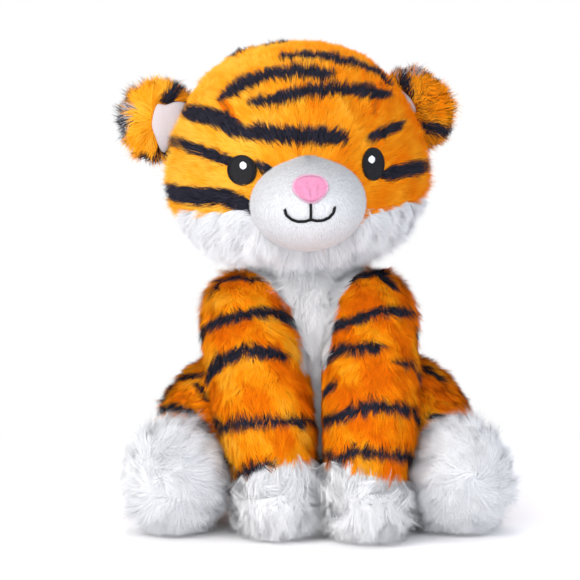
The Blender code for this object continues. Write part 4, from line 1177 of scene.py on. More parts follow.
def eye_share(places, grow_by=1.0):
    """Below one inside an eye patch, seen along the head's own front."""
    own = head_frame(places)
    nearest = np.full(len(places), 9.0)
    for side, (across, up) in EYES.items():
        wide, high = EYE_HALF[side]
        share = np.hypot((own[:, 0] - across) / (wide * grow_by), (own[:, 2] - up) / (high * grow_by))
        nearest = np.minimum(nearest, np.where(own[:, 1] < 0, share, 9.0))
    return nearest


def clear_of(bare, steps, stub):
    """A trimmer for hairs that would reach over bare cloth. It looks along each hair, tip first."""
    def trim(roots, tips):
        share = np.ones(len(roots))
        for at in steps:
            over = bare(roots + (tips - roots) * at)
            share[over] = np.minimum(share[over], at - stub)
        return share
    return trim


clear_eyes = clear_of(lambda places: eye_share(places) < 0.93, (1.0, 0.8, 0.6, 0.4), 0.2)

# %% [markdown]
# The forehead is a gusset between two seams. The cloth is pinched there, so the pile is shorter, and its tone
# is painted deeper along the seams, a painted shade in the crease that shows there. On the sides of the head
# the pile is longer and makes it look fuller.

# %% Head pile
CREASES = (((-47.0, 208.5), (-42.5, 200.0), (-37.5, 192.0)), ((33.0, 215.0), (30.5, 207.0), (29.0, 199.5)))
crease_points = [point for line in CREASES for point in fine(line, 1.0)]
crease_spots = np.array([land("head_skin", *point)[0] for point in crease_points])


def crease_gap(places):
    """How far places are from the nearest gusset seam, in mm."""
    return np.min(np.linalg.norm(places[:, None] - crease_spots[None], axis=2), axis=1) / MM


def head_length(roots, normals):
    """Pile is shorter along the gusset seams, where the cloth is pinched, and longer at the sides."""
    own = head_frame(roots)
    sides = np.clip((np.abs(own[:, 0]) - 36.0) / 20.0, 0.0, 1.0)
    sides *= np.clip((22.0 - own[:, 2]) / 16.0, 0.0, 1.0)
    open_share = np.clip((crease_gap(roots) - 1.6) / 3.0, 0.0, 1.0)
    return (0.45 + 0.55 * open_share) * (1.0 + 0.75 * sides)


def head_columns(source, places, rng):
    """Striped gold, with painted shade along the gusset seams: deeper tones, and brown in the crease."""
    column = golden_striped(source, places, rng)
    # Painted shade: hairs along the gusset seams take deeper orange, and brown in the crease itself.
    gap = crease_gap(places) + rng.normal(0.0, 0.35, len(places))
    seam_shade = (gap < 2.8) & (column < BLACK[0])
    column[seam_shade] = DEEP[0] + rng.integers(0, 2, seam_shade.sum())
    column[seam_shade & (gap < 1.1)] = BROWN[0] + 2
    return column


CHEEK_RAGGED = 1.2
grow("head_pile", "head_skin", head_flow, head_columns, density=4.8, length=5.2, lean=22.0, width=0.26,
     seed=11, keep=lambda r, n, g: ~on_cheek(r, CHEEK_RAGGED) & (eye_share(r, 0.93) > 1.0), trim=clear_eyes,
     deep=1.5, shape=head_length, lump=11.0, relief=0.25)

# %% [markdown]
# On the cheeks the pile is long, white and fine. It is brushed down and out from the muzzle, short beside
# it and longest under the chin, where it hangs like a curtain.

# %% Cheek pile


def cheek_flow(places, normals):
    """Down, and out from the muzzle."""
    return unit(places - muzzle_middle) * 0.8 + np.array([0.0, 0.0, -0.8])


def longer_below(roots, normals):
    """The cheek pile is trimmed short beside the muzzle and hangs long under the chin."""
    return 0.75 + 0.75 * np.clip((-30.0 - head_frame(roots)[:, 2]) / 18.0, 0.0, 1.0)


# Painted shade: the cheeks take a deeper white, as the lamp falls full on them.
cheek_pieces = grow(
    "cheek_pile", "head_skin", cheek_flow, whites(2.9), density=7.5, length=10.5, lean=23.0, width=0.25,
    seed=12, keep=lambda r, n, g: on_cheek(r, CHEEK_RAGGED), pull=0.35, deep=3.0, shape=longer_below,
    lump=9.0, relief=0.07, tuft=24, swirl=0.5, curtain=-0.1)

# %% [markdown]
# The muzzle is velboa, a cloth with a pile of 1 to 2 mm that all lies one way. It is brushed down. At this
# size the hairs read as a soft, even surface, so they are fine, dense and nearly of one white.

# %% Muzzle pile


def one_white(source, places, rng):
    """Velboa is one even white, with some hairs a tone deeper."""
    return np.full(len(places), WHITE[0] + 4) - (rng.random(len(places)) < 0.3)


grow("muzzle_pile", "muzzle_skin", toward(0.0, 0.0, -1.0), one_white, density=12.0, length=1.6, lean=30.0,
     seed=13, width=0.16, pull=0.0, deep=1.0, relief=0.0, noise=0.2, swirl=0.0, uneven=0.0, lump=60.0)

# %% [markdown]
# The smooth lining of an ear stays free of pile. Its outline is drawn on the picture plane, in mm, and both
# the pile round it and the panel itself, further on, are made from that one outline.

# %% Outlines of the linings
LINING_SHAPES = {
    "right": ((-79.0, 205.5), (-74.5, 204.5), (-69.5, 206.5), (-63.0, 205.5), (-64.0, 200.0), (-67.0, 193.0),
              (-71.0, 186.0), (-76.0, 179.0), (-79.0, 185.5), (-82.0, 194.0), (-81.0, 200.5)),
    "left": ((40.0, 213.0), (44.5, 211.5), (48.0, 208.0), (50.5, 203.5), (51.0, 200.5), (48.0, 200.0),
             (44.0, 202.5), (40.0, 207.0)),
}


def ear_frame(side, places):
    """Places in an ear's own frame, in mm: outward, up and forward."""
    place = EARS[side]
    return (places - np.array(place.translation)) @ np.array(place.to_3x3()) / MM


def in_lining(side, places, widen=0.0):
    """Which places lie over the ear's lining, as drawn, on the front of the ear."""
    across, up = on_picture(places)
    outline = LINING_SHAPES[side]
    inside = np.zeros(len(places), dtype=bool)
    nearest = np.full(len(places), 99.0)
    for (a, b), (c, d) in zip(outline, outline[1:] + outline[:1]):
        crosses = (b > up) != (d > up)
        inside ^= crosses & (across < (c - a) * (up - b) / ((d - b) or 1e-9) + a)
        share = ((across - a) * (c - a) + (up - b) * (d - b)) / ((c - a) ** 2 + (d - b) ** 2)
        share = np.clip(share, 0.0, 1.0)
        nearest = np.minimum(nearest, np.hypot(across - a - share * (c - a), up - b - share * (d - b)))
    depth = np.where(inside, nearest, -nearest)
    return (depth > -widen) & (ear_frame(side, places)[:, 2] > -1.0)


# %% [markdown]
# The pile of the ears is orange with black bands, and its outermost hairs are worn grey and black. On the
# left ear, which turns away from the lamp, a share of the orange is painted brown as shade.

# %% Dye of the ears


def ear_columns(side):
    """Orange with black bands, grey and black wisps at the outer rim, and painted shade in brown on the left
    ear.
    """
    def choose(source, places, rng):
        column = ear_striped(source, places, rng)
        across, up = on_picture(places)
        wave = 1.2 * drift(places, 5.0, 27)
        if side == "right":
            outer = (across + wave < -92.5) & (up > 188.0) & (up < 216.0)
            inky = outer & (up + wave < 199.0)
        else:
            outer = (up + wave > 220.0) & (across > 40.0) & (across < 58.0)
            inky = np.zeros(len(places), dtype=bool)
        chance = rng.random(len(places))
        worn = outer & (chance < 0.5)
        column[worn] = GREY[0] + rng.integers(0, GREY[1], worn.sum())
        wisp = (outer & (chance > 0.72)) | (inky & (chance > 0.35))
        column[wisp] = BLACK[0] + rng.integers(0, BLACK[1], wisp.sum())
        # Painted shade: the left ear turns away from the lamp, so some of its orange hairs are brown.
        if side == "left":
            shaded_brown = (column < BLACK[0]) & (rng.random(len(places)) < 0.3)
            column[shaded_brown] = BROWN[0] + 2
        return column
    return choose


# %% [markdown]
# The ears stand up with long pile on their rims, brushed away from the lining. Long hairs bend under their
# own weight, so these needles have a joint in the middle.

# %% Ear pile
LINING_FRINGE = 0.8  # how far hairs may hang over the lining, in mm
EAR_CENTRES = {"right": (1.0, -1.0, 0.0), "left": (-9.0, 0.0, 0.0)}
EAR_BASE = Vector((-20.0, -9.0, 0.0))


def ear_flow(side):
    """Away from the lining in front, and out from the ear's foot behind."""
    middle = np.array(EARS[side] @ (Vector(EAR_CENTRES[side]) * MM))
    base = np.array(EARS[side] @ (EAR_BASE * MM))

    def flow(places, normals):
        behind = np.clip(0.5 - ear_frame(side, places)[:, 2] / 4.0, 0.0, 1.0)[:, None]
        out = unit(places - middle) * (1.0 - behind) + unit(places - base) * behind
        return out + np.array([0.0, 0.0, -0.15])
    return flow


for seed, side in ((22, "right"), (21, "left")):
    grow(f"ear_{side}_pile", f"ear_{side}_skin", ear_flow(side), ear_columns(side), density=4.2, length=8.5,
         lean=30.0, bent=True, seed=seed, width=0.3, pull=0.5, deep=2.0, lump=7.0, relief=0.35, noise=0.35,
         swirl=0.55, curl=6.0, keep=lambda r, n, g: ~in_lining(side, r),
         trim=clear_of(lambda places: in_lining(side, places, -LINING_FRINGE), (1.0, 0.75, 0.5), 0.3))

# %% [markdown]
# The body pile is brushed down. A white bib runs down the front of it, fullest under the chin, where the
# photo shows it bulging between the legs.

# %% Torso and bib pile


def on_chest(roots):
    """Which roots are on the white bib."""
    x, z = roots[:, 0] / MM, roots[:, 2] / MM
    half = np.interp(z, (20.0, 60.0, 100.0, 124.0), (24.0, 27.0, 29.0, 26.0))
    return (np.abs(x + 2.0) < half) & (roots[:, 1] < -8.0 * MM) & (z > 6.0)


def longer_above(roots, normals):
    """The bib is fullest under the chin."""
    return 0.85 + 0.75 * np.clip((roots[:, 2] / MM - 75.0) / 35.0, 0.0, 1.0)


hang = toward(0.0, 0.0, -1.0)
grow("torso_pile", "torso_skin", hang, deep_striped, density=2.4, length=6.0, lean=20.0, seed=31,
     keep=lambda r, n, g: ~on_chest(r) & (n[:, 2] > -0.9), width=0.34)
# Painted light: the bib takes the brightest white, as it lies in the shade of the chin and the legs.
chest_pieces = grow(
    "chest_pile", "torso_skin", hang, whites(6.0), density=6.5, length=12.5, lean=38.0, width=0.26, seed=32,
    keep=lambda r, n, g: on_chest(r), pull=0.3, deep=6.0, shape=longer_above, relief=0.06, tuft=24, swirl=0.5,
    curtain=0.0)

# %% [markdown]
# The neck shows only when the head turns or nods. Its pile goes on from the bib in front and from the torso
# at the sides and behind.

# %% Neck pile


def neck_columns(source, places, rng):
    """White under the chin, and orange with its stripes at the sides and behind."""
    column = deep_striped(source, places, rng)
    front = (places[:, 1] < -6.0 * MM) & (np.abs(places[:, 0] + 5.0 * MM) < 27.0 * MM)
    # Painted light: the front of the neck takes the bright white of the bib.
    column[front] = whites(6.0)(source, places[front], rng)
    return column


def shorter_at_nape(roots, normals):
    """The neck's pile lies short and flat behind."""
    return np.where(roots[:, 1] > -6.0 * MM, 0.45, 1.0)


grow("neck_pile", "neck_skin", hang, neck_columns, density=3.0, length=11.0, lean=36.0, seed=33,
     deep=6.0, width=0.34, shape=shorter_at_nape)

# %% [markdown]
# Two edges on the front legs are drawn from the photo, in mm on the picture plane: where the white bib
# hangs over their inner tops, and where their orange ends above the white paws.

# %% Edges of the dye on the front legs
BIB_EDGES = {"right": ((-46.0, 128.0), (-26.0, 119.0), (-12.0, 103.0), (-7.0, 86.0), (-6.0, 70.0)),
             "left": ((31.0, 128.0), (16.0, 116.0), (10.5, 103.0), (8.0, 86.0), (5.0, 72.0))}
ANKLE_EDGES = {"right": ((-50.0, 10.0), (-42.0, 13.0), (-39.0, 16.0), (-33.5, 18.5), (-26.0, 21.0),
                         (-18.0, 23.5), (-10.0, 24.5), (-2.0, 26.0), (4.0, 25.0)),
               "left": ((0.0, 24.0), (4.0, 23.0), (11.5, 24.0), (15.0, 22.0), (20.0, 18.5), (28.5, 18.0),
                        (33.5, 15.5), (38.5, 17.0), (43.5, 15.5), (47.0, 10.0))}
ANKLE_TOP = 45.0 * MM


def under_bib(side, places):
    """Which places of a front leg are inside the bib's edge."""
    across, up = on_picture(places)
    line = sorted(BIB_EDGES[side], key=lambda point: point[1])
    edge = np.interp(up, [point[1] for point in line], [point[0] for point in line])
    inner = (across - edge) * -SIDES[side] > 0.0
    return inner & (up > line[0][1])


def below_orange(side, places, wave=0.0):
    """Which places of a front leg are below the edge of its orange, moved up by a wave in mm."""
    across, up = on_picture(places)
    edges, heights = zip(*ANKLE_EDGES[side])
    return (up + wave < np.interp(across, edges, heights)) & (places[:, 2] < ANKLE_TOP)


def leg_columns(side):
    """Deep orange with stripes, white where the bib hangs over, and white where the paw begins."""
    def choose(source, places, rng):
        column = deep_striped(source, places, rng)
        wave = 1.6 * drift(places, 5.0, 37) + rng.normal(0.0, 0.6, len(places))
        white = under_bib(side, places) | below_orange(side, places, wave)
        column[white] = white_only(source, places[white], rng)
        return column
    return choose


# %% [markdown]
# The pile of a front leg hangs in uneven tufts. White pile starts above the paw's seam and drapes over it,
# so the pile of the paw is tucked in short there. Between the legs the pile is cut back, because the photo
# shows a narrow gap.

# %% Shapes of the leg and paw pile
LEG_GAP = {"right": 2.9, "left": 3.5}  # where the pile of each leg ends, in mm to the toy's left
FRINGE_STARTS = -3.0  # the fringe starts 3 mm above the edge of the orange


def past_seam(side, places):
    """How far places of a front paw are past its seam, in mm."""
    shoulder, ankle, _ = LEGS[side]
    down = np.array((leg_point(shoulder, ankle, 1.0) - leg_point(shoulder, ankle, 0.9)).normalized())
    return (places - np.array(ankle)) @ down / MM


def tucked(side):
    """Paw pile is short at the seam, under the hanging pile of the leg, and long below it."""
    return lambda roots, normals: 0.3 + 0.75 * np.clip(past_seam(side, roots) / 9.0, 0.0, 1.0)


def clear_gap(side):
    """Trim hairs that would bridge the gap between the front legs."""
    limit, sign = LEG_GAP[side] * MM, SIDES[side]

    def trim(roots, tips):
        room = (roots[:, 0] - limit) * sign
        want = (roots[:, 0] - tips[:, 0]) * sign
        loose = 0.8 * MM * drift(roots, 4.0, 38)
        return np.where(want > room + loose, np.clip((room + loose) / np.maximum(want, 1e-6), 0.2, 1.0), 1.0)
    return trim


def longer_at_ankle(roots, normals):
    """Leg pile hangs over the seam of the paw in uneven tufts."""
    low = np.clip((42.0 - roots[:, 2] / MM) / 14.0, 0.0, 1.0)
    return 1.0 + low * (0.25 + 0.35 * drift(roots, 6.0, 39))


# %% [markdown]
# A front leg grows its orange pile, the shaggy pile of its paw, and the fringe of long white hairs over the
# seam between them.

# %% Coat of a front leg


def front_coat(side, number):
    """Grow the pile of a front leg, its paw and its ankle."""
    shoulder, ankle, paw = LEGS[side]
    down = np.array((ankle - shoulder).normalized())

    def leg_flow(places, normals):
        """Down the leg and slightly outward."""
        return down[None] + 0.25 * normals * np.array([1.0, 1.0, 0.0])

    leg, paw_skin = f"front_leg_{side}_skin", f"front_paw_{side}_skin"
    paw_flow = away_from(paw + Vector((0, 0.006, 0.016)), 0.2)
    grow(f"front_leg_{side}_pile", leg, leg_flow, leg_columns(side), density=4.6, length=7.6, lean=20.0,
         seed=41 + number, width=0.28, pull=0.45, deep=3.0, tuft=22, lump=9.0, relief=0.4, swirl=0.45,
         shape=longer_at_ankle, trim=clear_gap(side))
    # Painted light: the paw and the fringe over its seam take a brighter white than the cheeks.
    grow(f"front_paw_{side}_pile", paw_skin, paw_flow, whites(5.3), density=8.5, length=10.0, lean=30.0,
         seed=43 + number, width=0.23, pull=0.55, tuft=36, lump=6.0, relief=0.16, noise=0.4, swirl=1.0,
         curl=7.0, uneven=0.4, curtain=-0.3, cap=0.15, keep=lambda r, n, g: n[:, 2] > -0.93,
         shape=tucked(side))
    grow(f"front_ankle_{side}_pile", leg, leg_flow, whites(5.3), density=7.5, length=15.0, lean=50.0,
         lay_lean=2.0, bent=True, seed=61 + number, width=0.25, pull=0.3, deep=3.0, tuft=26, relief=0.15,
         swirl=0.7, curl=8.0, uneven=0.4, cap=0.2,
         keep=lambda r, n, g: below_orange(side, r, FRINGE_STARTS))


# %% [markdown]
# A hind leg is brushed toward its foot. On the sole of the foot the pile turns in a whorl, as it does where
# pile is brushed round a stuffed ball.

# %% Coat of a hind leg


def hind_coat(side, number):
    """Grow the pile of a hind leg and its foot."""
    hip, _, foot = HIPS[side]
    ahead = np.array((foot - hip).normalized())
    grow(f"hind_leg_{side}_pile", f"hind_leg_{side}_skin", toward(ahead[0], ahead[1], ahead[2] - 0.35),
         deep_striped, density=3.2, length=7.0, lean=22.0, seed=45 + number,
         keep=lambda r, n, g: n[:, 2] > -0.95, relief=0.35)
    whorl = np.array(foot + Vector((SIDES[side] * 0.006, -0.020, 0.004)))

    def foot_flow(places, normals):
        """Out from a whorl on the sole, turning as it goes."""
        out = unit(places - whorl)
        return out + 0.9 * np.cross(normals, out) * SIDES[side] + np.array([0.0, 0.0, -0.2])

    # Painted light and shade: the feet take a base white of their own, set to how the lamps fall on them.
    grow(f"hind_foot_{side}_pile", f"hind_foot_{side}_skin", foot_flow, whites(3.4), density=6.5, length=9.5,
         lean=26.0, seed=47 + number, width=0.25, pull=0.42, tuft=34, keep=lambda r, n, g: n[:, 2] > -0.93,
         lump=8.0, relief=0.2, noise=0.45, swirl=0.8, curl=8.0, uneven=0.26)


for number, side in enumerate(SIDES):
    front_coat(side, number)
    hind_coat(side, number)

# %% [markdown]
# The pile of the tail is brushed from its root to its tip.

# %% Tail pile
tail_middle = np.array([p[:] for p in tail_points])


def tail_flow(places, normals):
    """Along the tail to its tip."""
    near = np.linalg.norm(places[:, None] - tail_middle[None], axis=2).argmin(axis=1)
    near = np.minimum(near, len(tail_middle) - 2)
    return unit(tail_middle[near + 1] - tail_middle[near])


grow("tail_pile", "tail_skin", tail_flow, deep_striped, density=3.0, length=6.0, lean=22.0, seed=51)
grow("tail_tip_pile", "tail_tip_skin", tail_flow, white_only, density=3.0, length=7.0, lean=24.0, seed=52)

# %% [markdown]
# ## The stitched face
#
# Nose, mouth and eyes are machine embroidery. A satin stitch is a row of threads side by side, each pulled
# tight over the patch. A bump pattern would look flat from the side, so every thread here is its own small
# rounded strip, laid on the form, and light catches it as it catches real thread.

# %% Threads
# Width and height of each kind of thread, in mm
NOSE_THREAD, BORDER_THREAD, MOUTH_THREAD = (0.52, 0.5), (0.75, 0.6), (1.5, 1.1)
EYE_THREAD, LIGHT_THREAD, SEAT_THREAD = (0.7, 0.5), (0.5, 0.5), (0.5, 0.5)


def loft(shape, loops):
    """Join each loop of points to the next one with faces."""
    for near, far in zip(loops, loops[1:]):
        for step in range(len(near)):
            after = (step + 1) % len(near)
            shape.faces.new((near[step], near[after], far[after], far[step]))


def thread(shape, points, normals, width, height, sides=6):
    """Add one thread as a closed tube, narrow at both ends."""
    loops = []
    for index, point in enumerate(points):
        before = points[max(index - 1, 0)]
        after = points[min(index + 1, len(points) - 1)]
        along = (after - before).normalized()
        across = along.cross(normals[index]).normalized()
        up = across.cross(along)
        end = 0.55 if index in (0, len(points) - 1) else 1.0
        loop = []
        for step in range(sides):
            angle = 2.0 * math.pi * (step + 0.5) / sides
            out = across * width / 2 * math.cos(angle) + up * height / 2 * math.sin(angle)
            loop.append(shape.verts.new(point + out * end * MM))
        loops.append(loop)
    loft(shape, loops)
    shape.faces.new(list(reversed(loops[0])))
    shape.faces.new(loops[-1])


# %% [markdown]
# The face is drawn in mm across and up in the head's own frame. A stitch is thrown straight back onto the
# head or the muzzle and lifted off it by a little padding.

# %% Stitching


def on_face(name, across, up, lift):
    """A place on a head form, given in mm across and up in the head's own frame, lifted off the form."""
    tree = SKINS[name]["tree"]
    origin = HEAD_POSE @ Vector((across * MM, -0.15, up * MM))
    sight = HEAD_POSE.to_3x3() @ Y
    place, normal, _, _ = tree.ray_cast(origin, sight)
    if place is None:
        place, normal, _, _ = tree.find_nearest(HEAD_POSE @ Vector((across * MM, -0.06, up * MM)))
    return place + normal * lift * MM, normal


def stitch(shape, name, spots, size):
    """Lay one thread of a width and height over a form. A spot is across, up and lift, in mm."""
    laid = [on_face(name, *spot) for spot in spots]
    thread(shape, [place for place, _ in laid], [normal for _, normal in laid], *size)


def stitched(name, body, shape, *nodes):
    """Turn threads into a piece that stands for CAD nodes."""
    bmesh.ops.recalc_face_normals(shape, faces=shape.faces)
    item = made_from(name, shape, smooth=True)
    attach(item, body)
    if nodes:
        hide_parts(*nodes)
    return item


# %% [markdown]
# The nose is a rounded triangle. Its outline is two curves, one above and one below, and it is padded, so
# it stands highest in the middle.

# %% Outline of the nose
NOSE_HALF, NOSE_ABOVE, NOSE_BELOW = 8.1, 5.6, 6.8


def nose_top(across):
    """Upper edge of the nose at a place across it."""
    return NOSE_ABOVE * (1.0 - abs(across / NOSE_HALF) ** 2.2) ** 0.5


def nose_bottom(across):
    """Lower edge of the nose: a soft point."""
    return -NOSE_BELOW * (1.0 - abs(across / NOSE_HALF) ** 1.7) ** 0.66


def nose_dome(across, up):
    """How far the stitches stand over the muzzle, in mm: padded in the middle."""
    middle = (nose_top(across) + nose_bottom(across)) / 2
    half = (nose_top(across) - nose_bottom(across)) / 2 + 0.01
    share = max(0.0, 1.0 - ((up - middle) / half) ** 2)
    return 1.0 + 1.1 * math.sqrt(share) * math.sqrt(max(0.0, 1.0 - (across / NOSE_HALF) ** 2))


print("nose", 2 * NOSE_HALF, "mm wide and", round(NOSE_ABOVE + NOSE_BELOW, 1), "mm high")

# %% [markdown]
# Upright threads fill the nose in satin stitch, and short slanted stitches of a paler thread bind its edge.

# %% Nose
NOSE_ACROSS, NOSE_UP = -1.0, -14.5
NOSE_STEP, NOSE_BINDINGS = 0.42, 64
shape = bmesh.new()
across = -NOSE_HALF + 0.35
while across < NOSE_HALF - 0.3:
    low, high = nose_bottom(across) + 0.3, nose_top(across) - 0.3
    heights = [low + (high - low) * step / 8 for step in range(9)]
    spots = [(NOSE_ACROSS + across, NOSE_UP + up, nose_dome(across, up)) for up in heights]
    stitch(shape, "muzzle_skin", spots, NOSE_THREAD)
    across += NOSE_STEP
nose_fill = stitched("nose_fill", "head", shape, "nose")

shape = bmesh.new()
for step in range(NOSE_BINDINGS):
    angle = 2.0 * math.pi * step / NOSE_BINDINGS
    across = (NOSE_HALF - 0.05) * math.sin(angle)
    up = nose_top(across) if math.cos(angle) > 0 else nose_bottom(across)
    spots = [(NOSE_ACROSS + across * share, NOSE_UP - 1.0 + (up + 1.0) * share, lift)
             for share, lift in ((1.07, 0.55), (1.0, 1.6), (0.90, 1.5))]
    stitch(shape, "muzzle_skin", spots, BORDER_THREAD)
nose_border = stitched("nose_border", "head", shape)
print("nose bound with", NOSE_BINDINGS, "stitches")

# %% [markdown]
# The mouth is one line of black satin stitch, 1.6 mm thick: a stem under the nose and an arc to each side.
# Its stitches lie across the line, a little slanted.

# %% Mouth
MOUTH_LINES = (
    ((-1.5, -21.4), (-1.6, -25.2), (-1.7, -28.8)),
    ((-13.2, -24.0), (-12.6, -26.4), (-10.4, -28.4), (-7.4, -29.5), (-4.4, -29.5), (-1.7, -28.8)),
    ((-1.7, -28.8), (1.2, -29.5), (4.0, -29.4), (6.8, -28.3), (9.0, -26.2), (9.7, -23.6)),
)
shape = bmesh.new()
for line in MOUTH_LINES:
    flat = fine([(a, u, 0.0) for a, u in line], 0.9)
    for near, far in zip(flat, flat[1:]):
        skew = (far - near).normalized().cross(Z)
        spots = []
        for share, shift, lift in ((-0.35, -0.35, 0.7), (0.5, 0.0, 1.5), (1.35, 0.35, 0.7)):
            spot = near.lerp(far, share) + skew * shift
            spots.append((spot.x, spot.y, lift))
        stitch(shape, "muzzle_skin", spots, MOUTH_THREAD)
mouth_line = stitched("mouth_line", "head", shape, "mouth")
print("mouth of", len(MOUTH_LINES), "lines")

# %% [markdown]
# An eye is a black oval, stitched onto the face before it is stuffed. Level threads fill it, a little raised
# in the middle, so that a soft light runs over them, and short ones bind its edge.

# %% Eyes
EYE_LIFT = 1.7
EYE_STEP, EYE_BINDINGS = 0.38, 72


def stitch_eye(side):
    """Fill an eye patch and bind its edge."""
    eye_across, eye_up = EYES[side]
    wide, high = EYE_HALF[side]
    shape = bmesh.new()
    row = -high + 0.4
    while row < high - 0.3:
        half = wide * math.sqrt(max(0.0, 1.0 - (row / high) ** 2)) - 0.2
        spots = []
        for step in range(7):
            across = -half + 2.0 * half * step / 6
            swell = 0.7 * math.sqrt(max(0.0, 1.0 - (across / wide) ** 2 - (row / high) ** 2))
            spots.append((eye_across + across, eye_up + row, EYE_LIFT + swell))
        if half > 0.6:
            stitch(shape, "head_skin", spots, EYE_THREAD)
        row += EYE_STEP
    for step in range(EYE_BINDINGS):
        angle = 2.0 * math.pi * step / EYE_BINDINGS
        spots = []
        for share, rise in ((1.04, -1.2), (0.99, 0.3), (0.88, 0.45)):
            across, up = wide * share * math.sin(angle), high * share * math.cos(angle)
            spots.append((eye_across + across, eye_up + up, EYE_LIFT + rise))
        stitch(shape, "head_skin", spots, BORDER_THREAD)
    stitched(f"eye_{side}_fill", "head", shape, f"eye_patch_{side}")


# %% [markdown]
# The light in an eye is a small round patch of white thread, stitched over the black.

# %% Lights in the eyes
LIGHT_RADIUS, LIGHT_STEP, LIGHT_RISE = 1.65, 0.4, 2.2
LIGHT_SHIFT = {"right": 1.2, "left": -1.6}


def stitch_light(side):
    """Fill the light in an eye."""
    light_across, light_up = EYES[side][0] + LIGHT_SHIFT[side], EYES[side][1] + LIGHT_RISE
    shape = bmesh.new()
    row = -1.6
    while row < 1.61:
        half = math.sqrt(max(0.0, LIGHT_RADIUS ** 2 - row ** 2))
        spots = []
        for step in range(5):
            across = -half + 2.0 * half * step / 4
            lift = EYE_LIFT + 1.05 + 0.35 * math.sqrt(max(0.0, 1.0 - (across / 1.8) ** 2))
            spots.append((light_across + across, light_up + row, lift))
        if half > 0.3:
            stitch(shape, "head_skin", spots, LIGHT_THREAD)
        row += LIGHT_STEP
    stitched(f"eye_{side}_light", "head", shape, f"eye_highlight_{side}")


for side in SIDES:
    stitch_eye(side)
    stitch_light(side)
print("eyes", {side: (2 * wide, 2 * high) for side, (wide, high) in EYE_HALF.items()}, "mm")

# %% [markdown]
# ## Ear linings
#
# The inside of an ear is one smooth panel, sewn in at its edge. It is drawn as a small shield on the ear's
# front and swells a little between its seams.

# %% Ear linings


def panel(name, side, outline):
    """A cloth panel on the ear's front, from an outline on the picture plane."""
    source = f"ear_{side}_skin"
    middle = Vector([sum(values) / len(outline) for values in zip(*outline)])
    rounded = []
    for point, after in zip(outline, outline[1:] + outline[:1]):
        rounded += [Vector(point), Vector(point).lerp(Vector(after), 0.5)]
    shape = bmesh.new()
    sheets = []
    for share, lift in ((1.0, -0.3), (0.97, 1.2), (0.8, 1.8), (0.45, 2.2)):
        loop = []
        for point in rounded:
            spot = middle.lerp(point, share)
            hit, normal = land(source, *spot)
            loop.append(shape.verts.new(hit - normal * STANDS_OUT + normal * lift * MM))
        sheets.append(loop)
    count = len(rounded)
    loft(shape, sheets)
    top = shape.verts.new(sum((v.co for v in sheets[-1]), Vector()) / count)
    under = shape.verts.new(sum((v.co for v in sheets[0]), Vector()) / count)
    for step in range(count):
        after = (step + 1) % count
        shape.faces.new((sheets[-1][step], sheets[-1][after], top))
        shape.faces.new((sheets[0][after], sheets[0][step], under))
    bmesh.ops.recalc_face_normals(shape, faces=shape.faces)
    item = made_from(name, shape, smooth=True)
    swell = item.modifiers.new("swell", "SUBSURF")
    swell.levels = swell.render_levels = 2
    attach(item, f"ear_{side}")
    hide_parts(f"ear_lining_{side}")
    return item


for side in SIDES:
    lining = panel(f"ear_{side}_lining", side, LINING_SHAPES[side])
    print(lining.name, "of", len(lining.data.vertices), "points before it swells")

# %% [markdown]
# ## Inside and under
#
# The fillings don't show, but they are there: each is a wad of fibre, lumpy and a little smaller than its
# hollow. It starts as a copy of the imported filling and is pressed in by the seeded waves.

# %% Fillings and pouch
FILLED = {"torso": "torso_filling", "head": "head_filling"}
for side in SIDES:
    FILLED[f"front_leg_{side}"] = f"front_leg_filling_{side}"
    FILLED[f"hind_leg_{side}"] = f"hind_leg_filling_{side}"


def wad(name, body, node, depth):
    """A lumpy copy of a packed filling, pressed in by a smooth seeded change."""
    source = frame["nodes"][node]
    shape = bmesh.new()
    shape.from_mesh(source.data)
    bmesh.ops.subdivide_edges(shape, edges=shape.edges, cuts=1, use_grid_fill=True)
    shape.normal_update()
    spots = np.array([v.co[:] for v in shape.verts])
    press = 0.5 + 0.5 * drift(spots, 9.0, 71) / 1.5
    for vertex, amount in zip(shape.verts, press):
        vertex.co -= vertex.normal * depth * MM * float(np.clip(amount, 0.0, 1.0))
    item = made_from(name, shape, smooth=True)
    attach(item, body)
    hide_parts(node)
    return item


for body, node in FILLED.items():
    wad(f"{node}_wad", body, node, 1.5)
wad("pellet_bag", "torso", "pellet_pouch", 1.0)
print(len(FILLED), "fillings and a pouch")

# %% [markdown]
# The seat is one oval of woven cloth that closes the bottom, stretched flat by the weight above. It is
# lofted from a few rings, thin at its edge.

# %% Seat
SEAT_SIDES, SEAT_CLOTH = 48, 1.2 * MM
seat_low, seat_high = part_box("seat_panel")
seat_middle = (Vector(seat_low) + Vector(seat_high)) / 2
seat_half = (Vector(seat_high) - Vector(seat_low)) / 2
shape = bmesh.new()
levels = ((1.0, 0.5), (0.97, 0.1), (0.85, 0.0), (0.6, 0.0), (0.3, 0.0))
for turned in (0, 1):
    loops = []
    for share, rise in levels:
        height = rise * MM + (SEAT_CLOTH if turned and share < 1.0 else 0.0)
        loop = []
        for step in range(SEAT_SIDES):
            angle = 2 * math.pi * step / SEAT_SIDES
            loop.append(shape.verts.new((seat_middle.x + seat_half.x * share * math.cos(angle),
                                         seat_middle.y + seat_half.y * share * math.sin(angle), height)))
        loops.append(loop)
    loft(shape, loops)
    shape.faces.new(loops[-1])
bmesh.ops.remove_doubles(shape, verts=shape.verts, dist=1e-5)
bmesh.ops.recalc_face_normals(shape, faces=shape.faces)
seat_cloth = made_from("seat_cloth", shape)
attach(seat_cloth, "torso")
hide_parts("seat_panel")
print("seat", [round(v * 2 / MM, 1) for v in seat_half[:2]], "mm")

# %% [markdown]
# A ring of slanted stitches holds the edge of the seat.

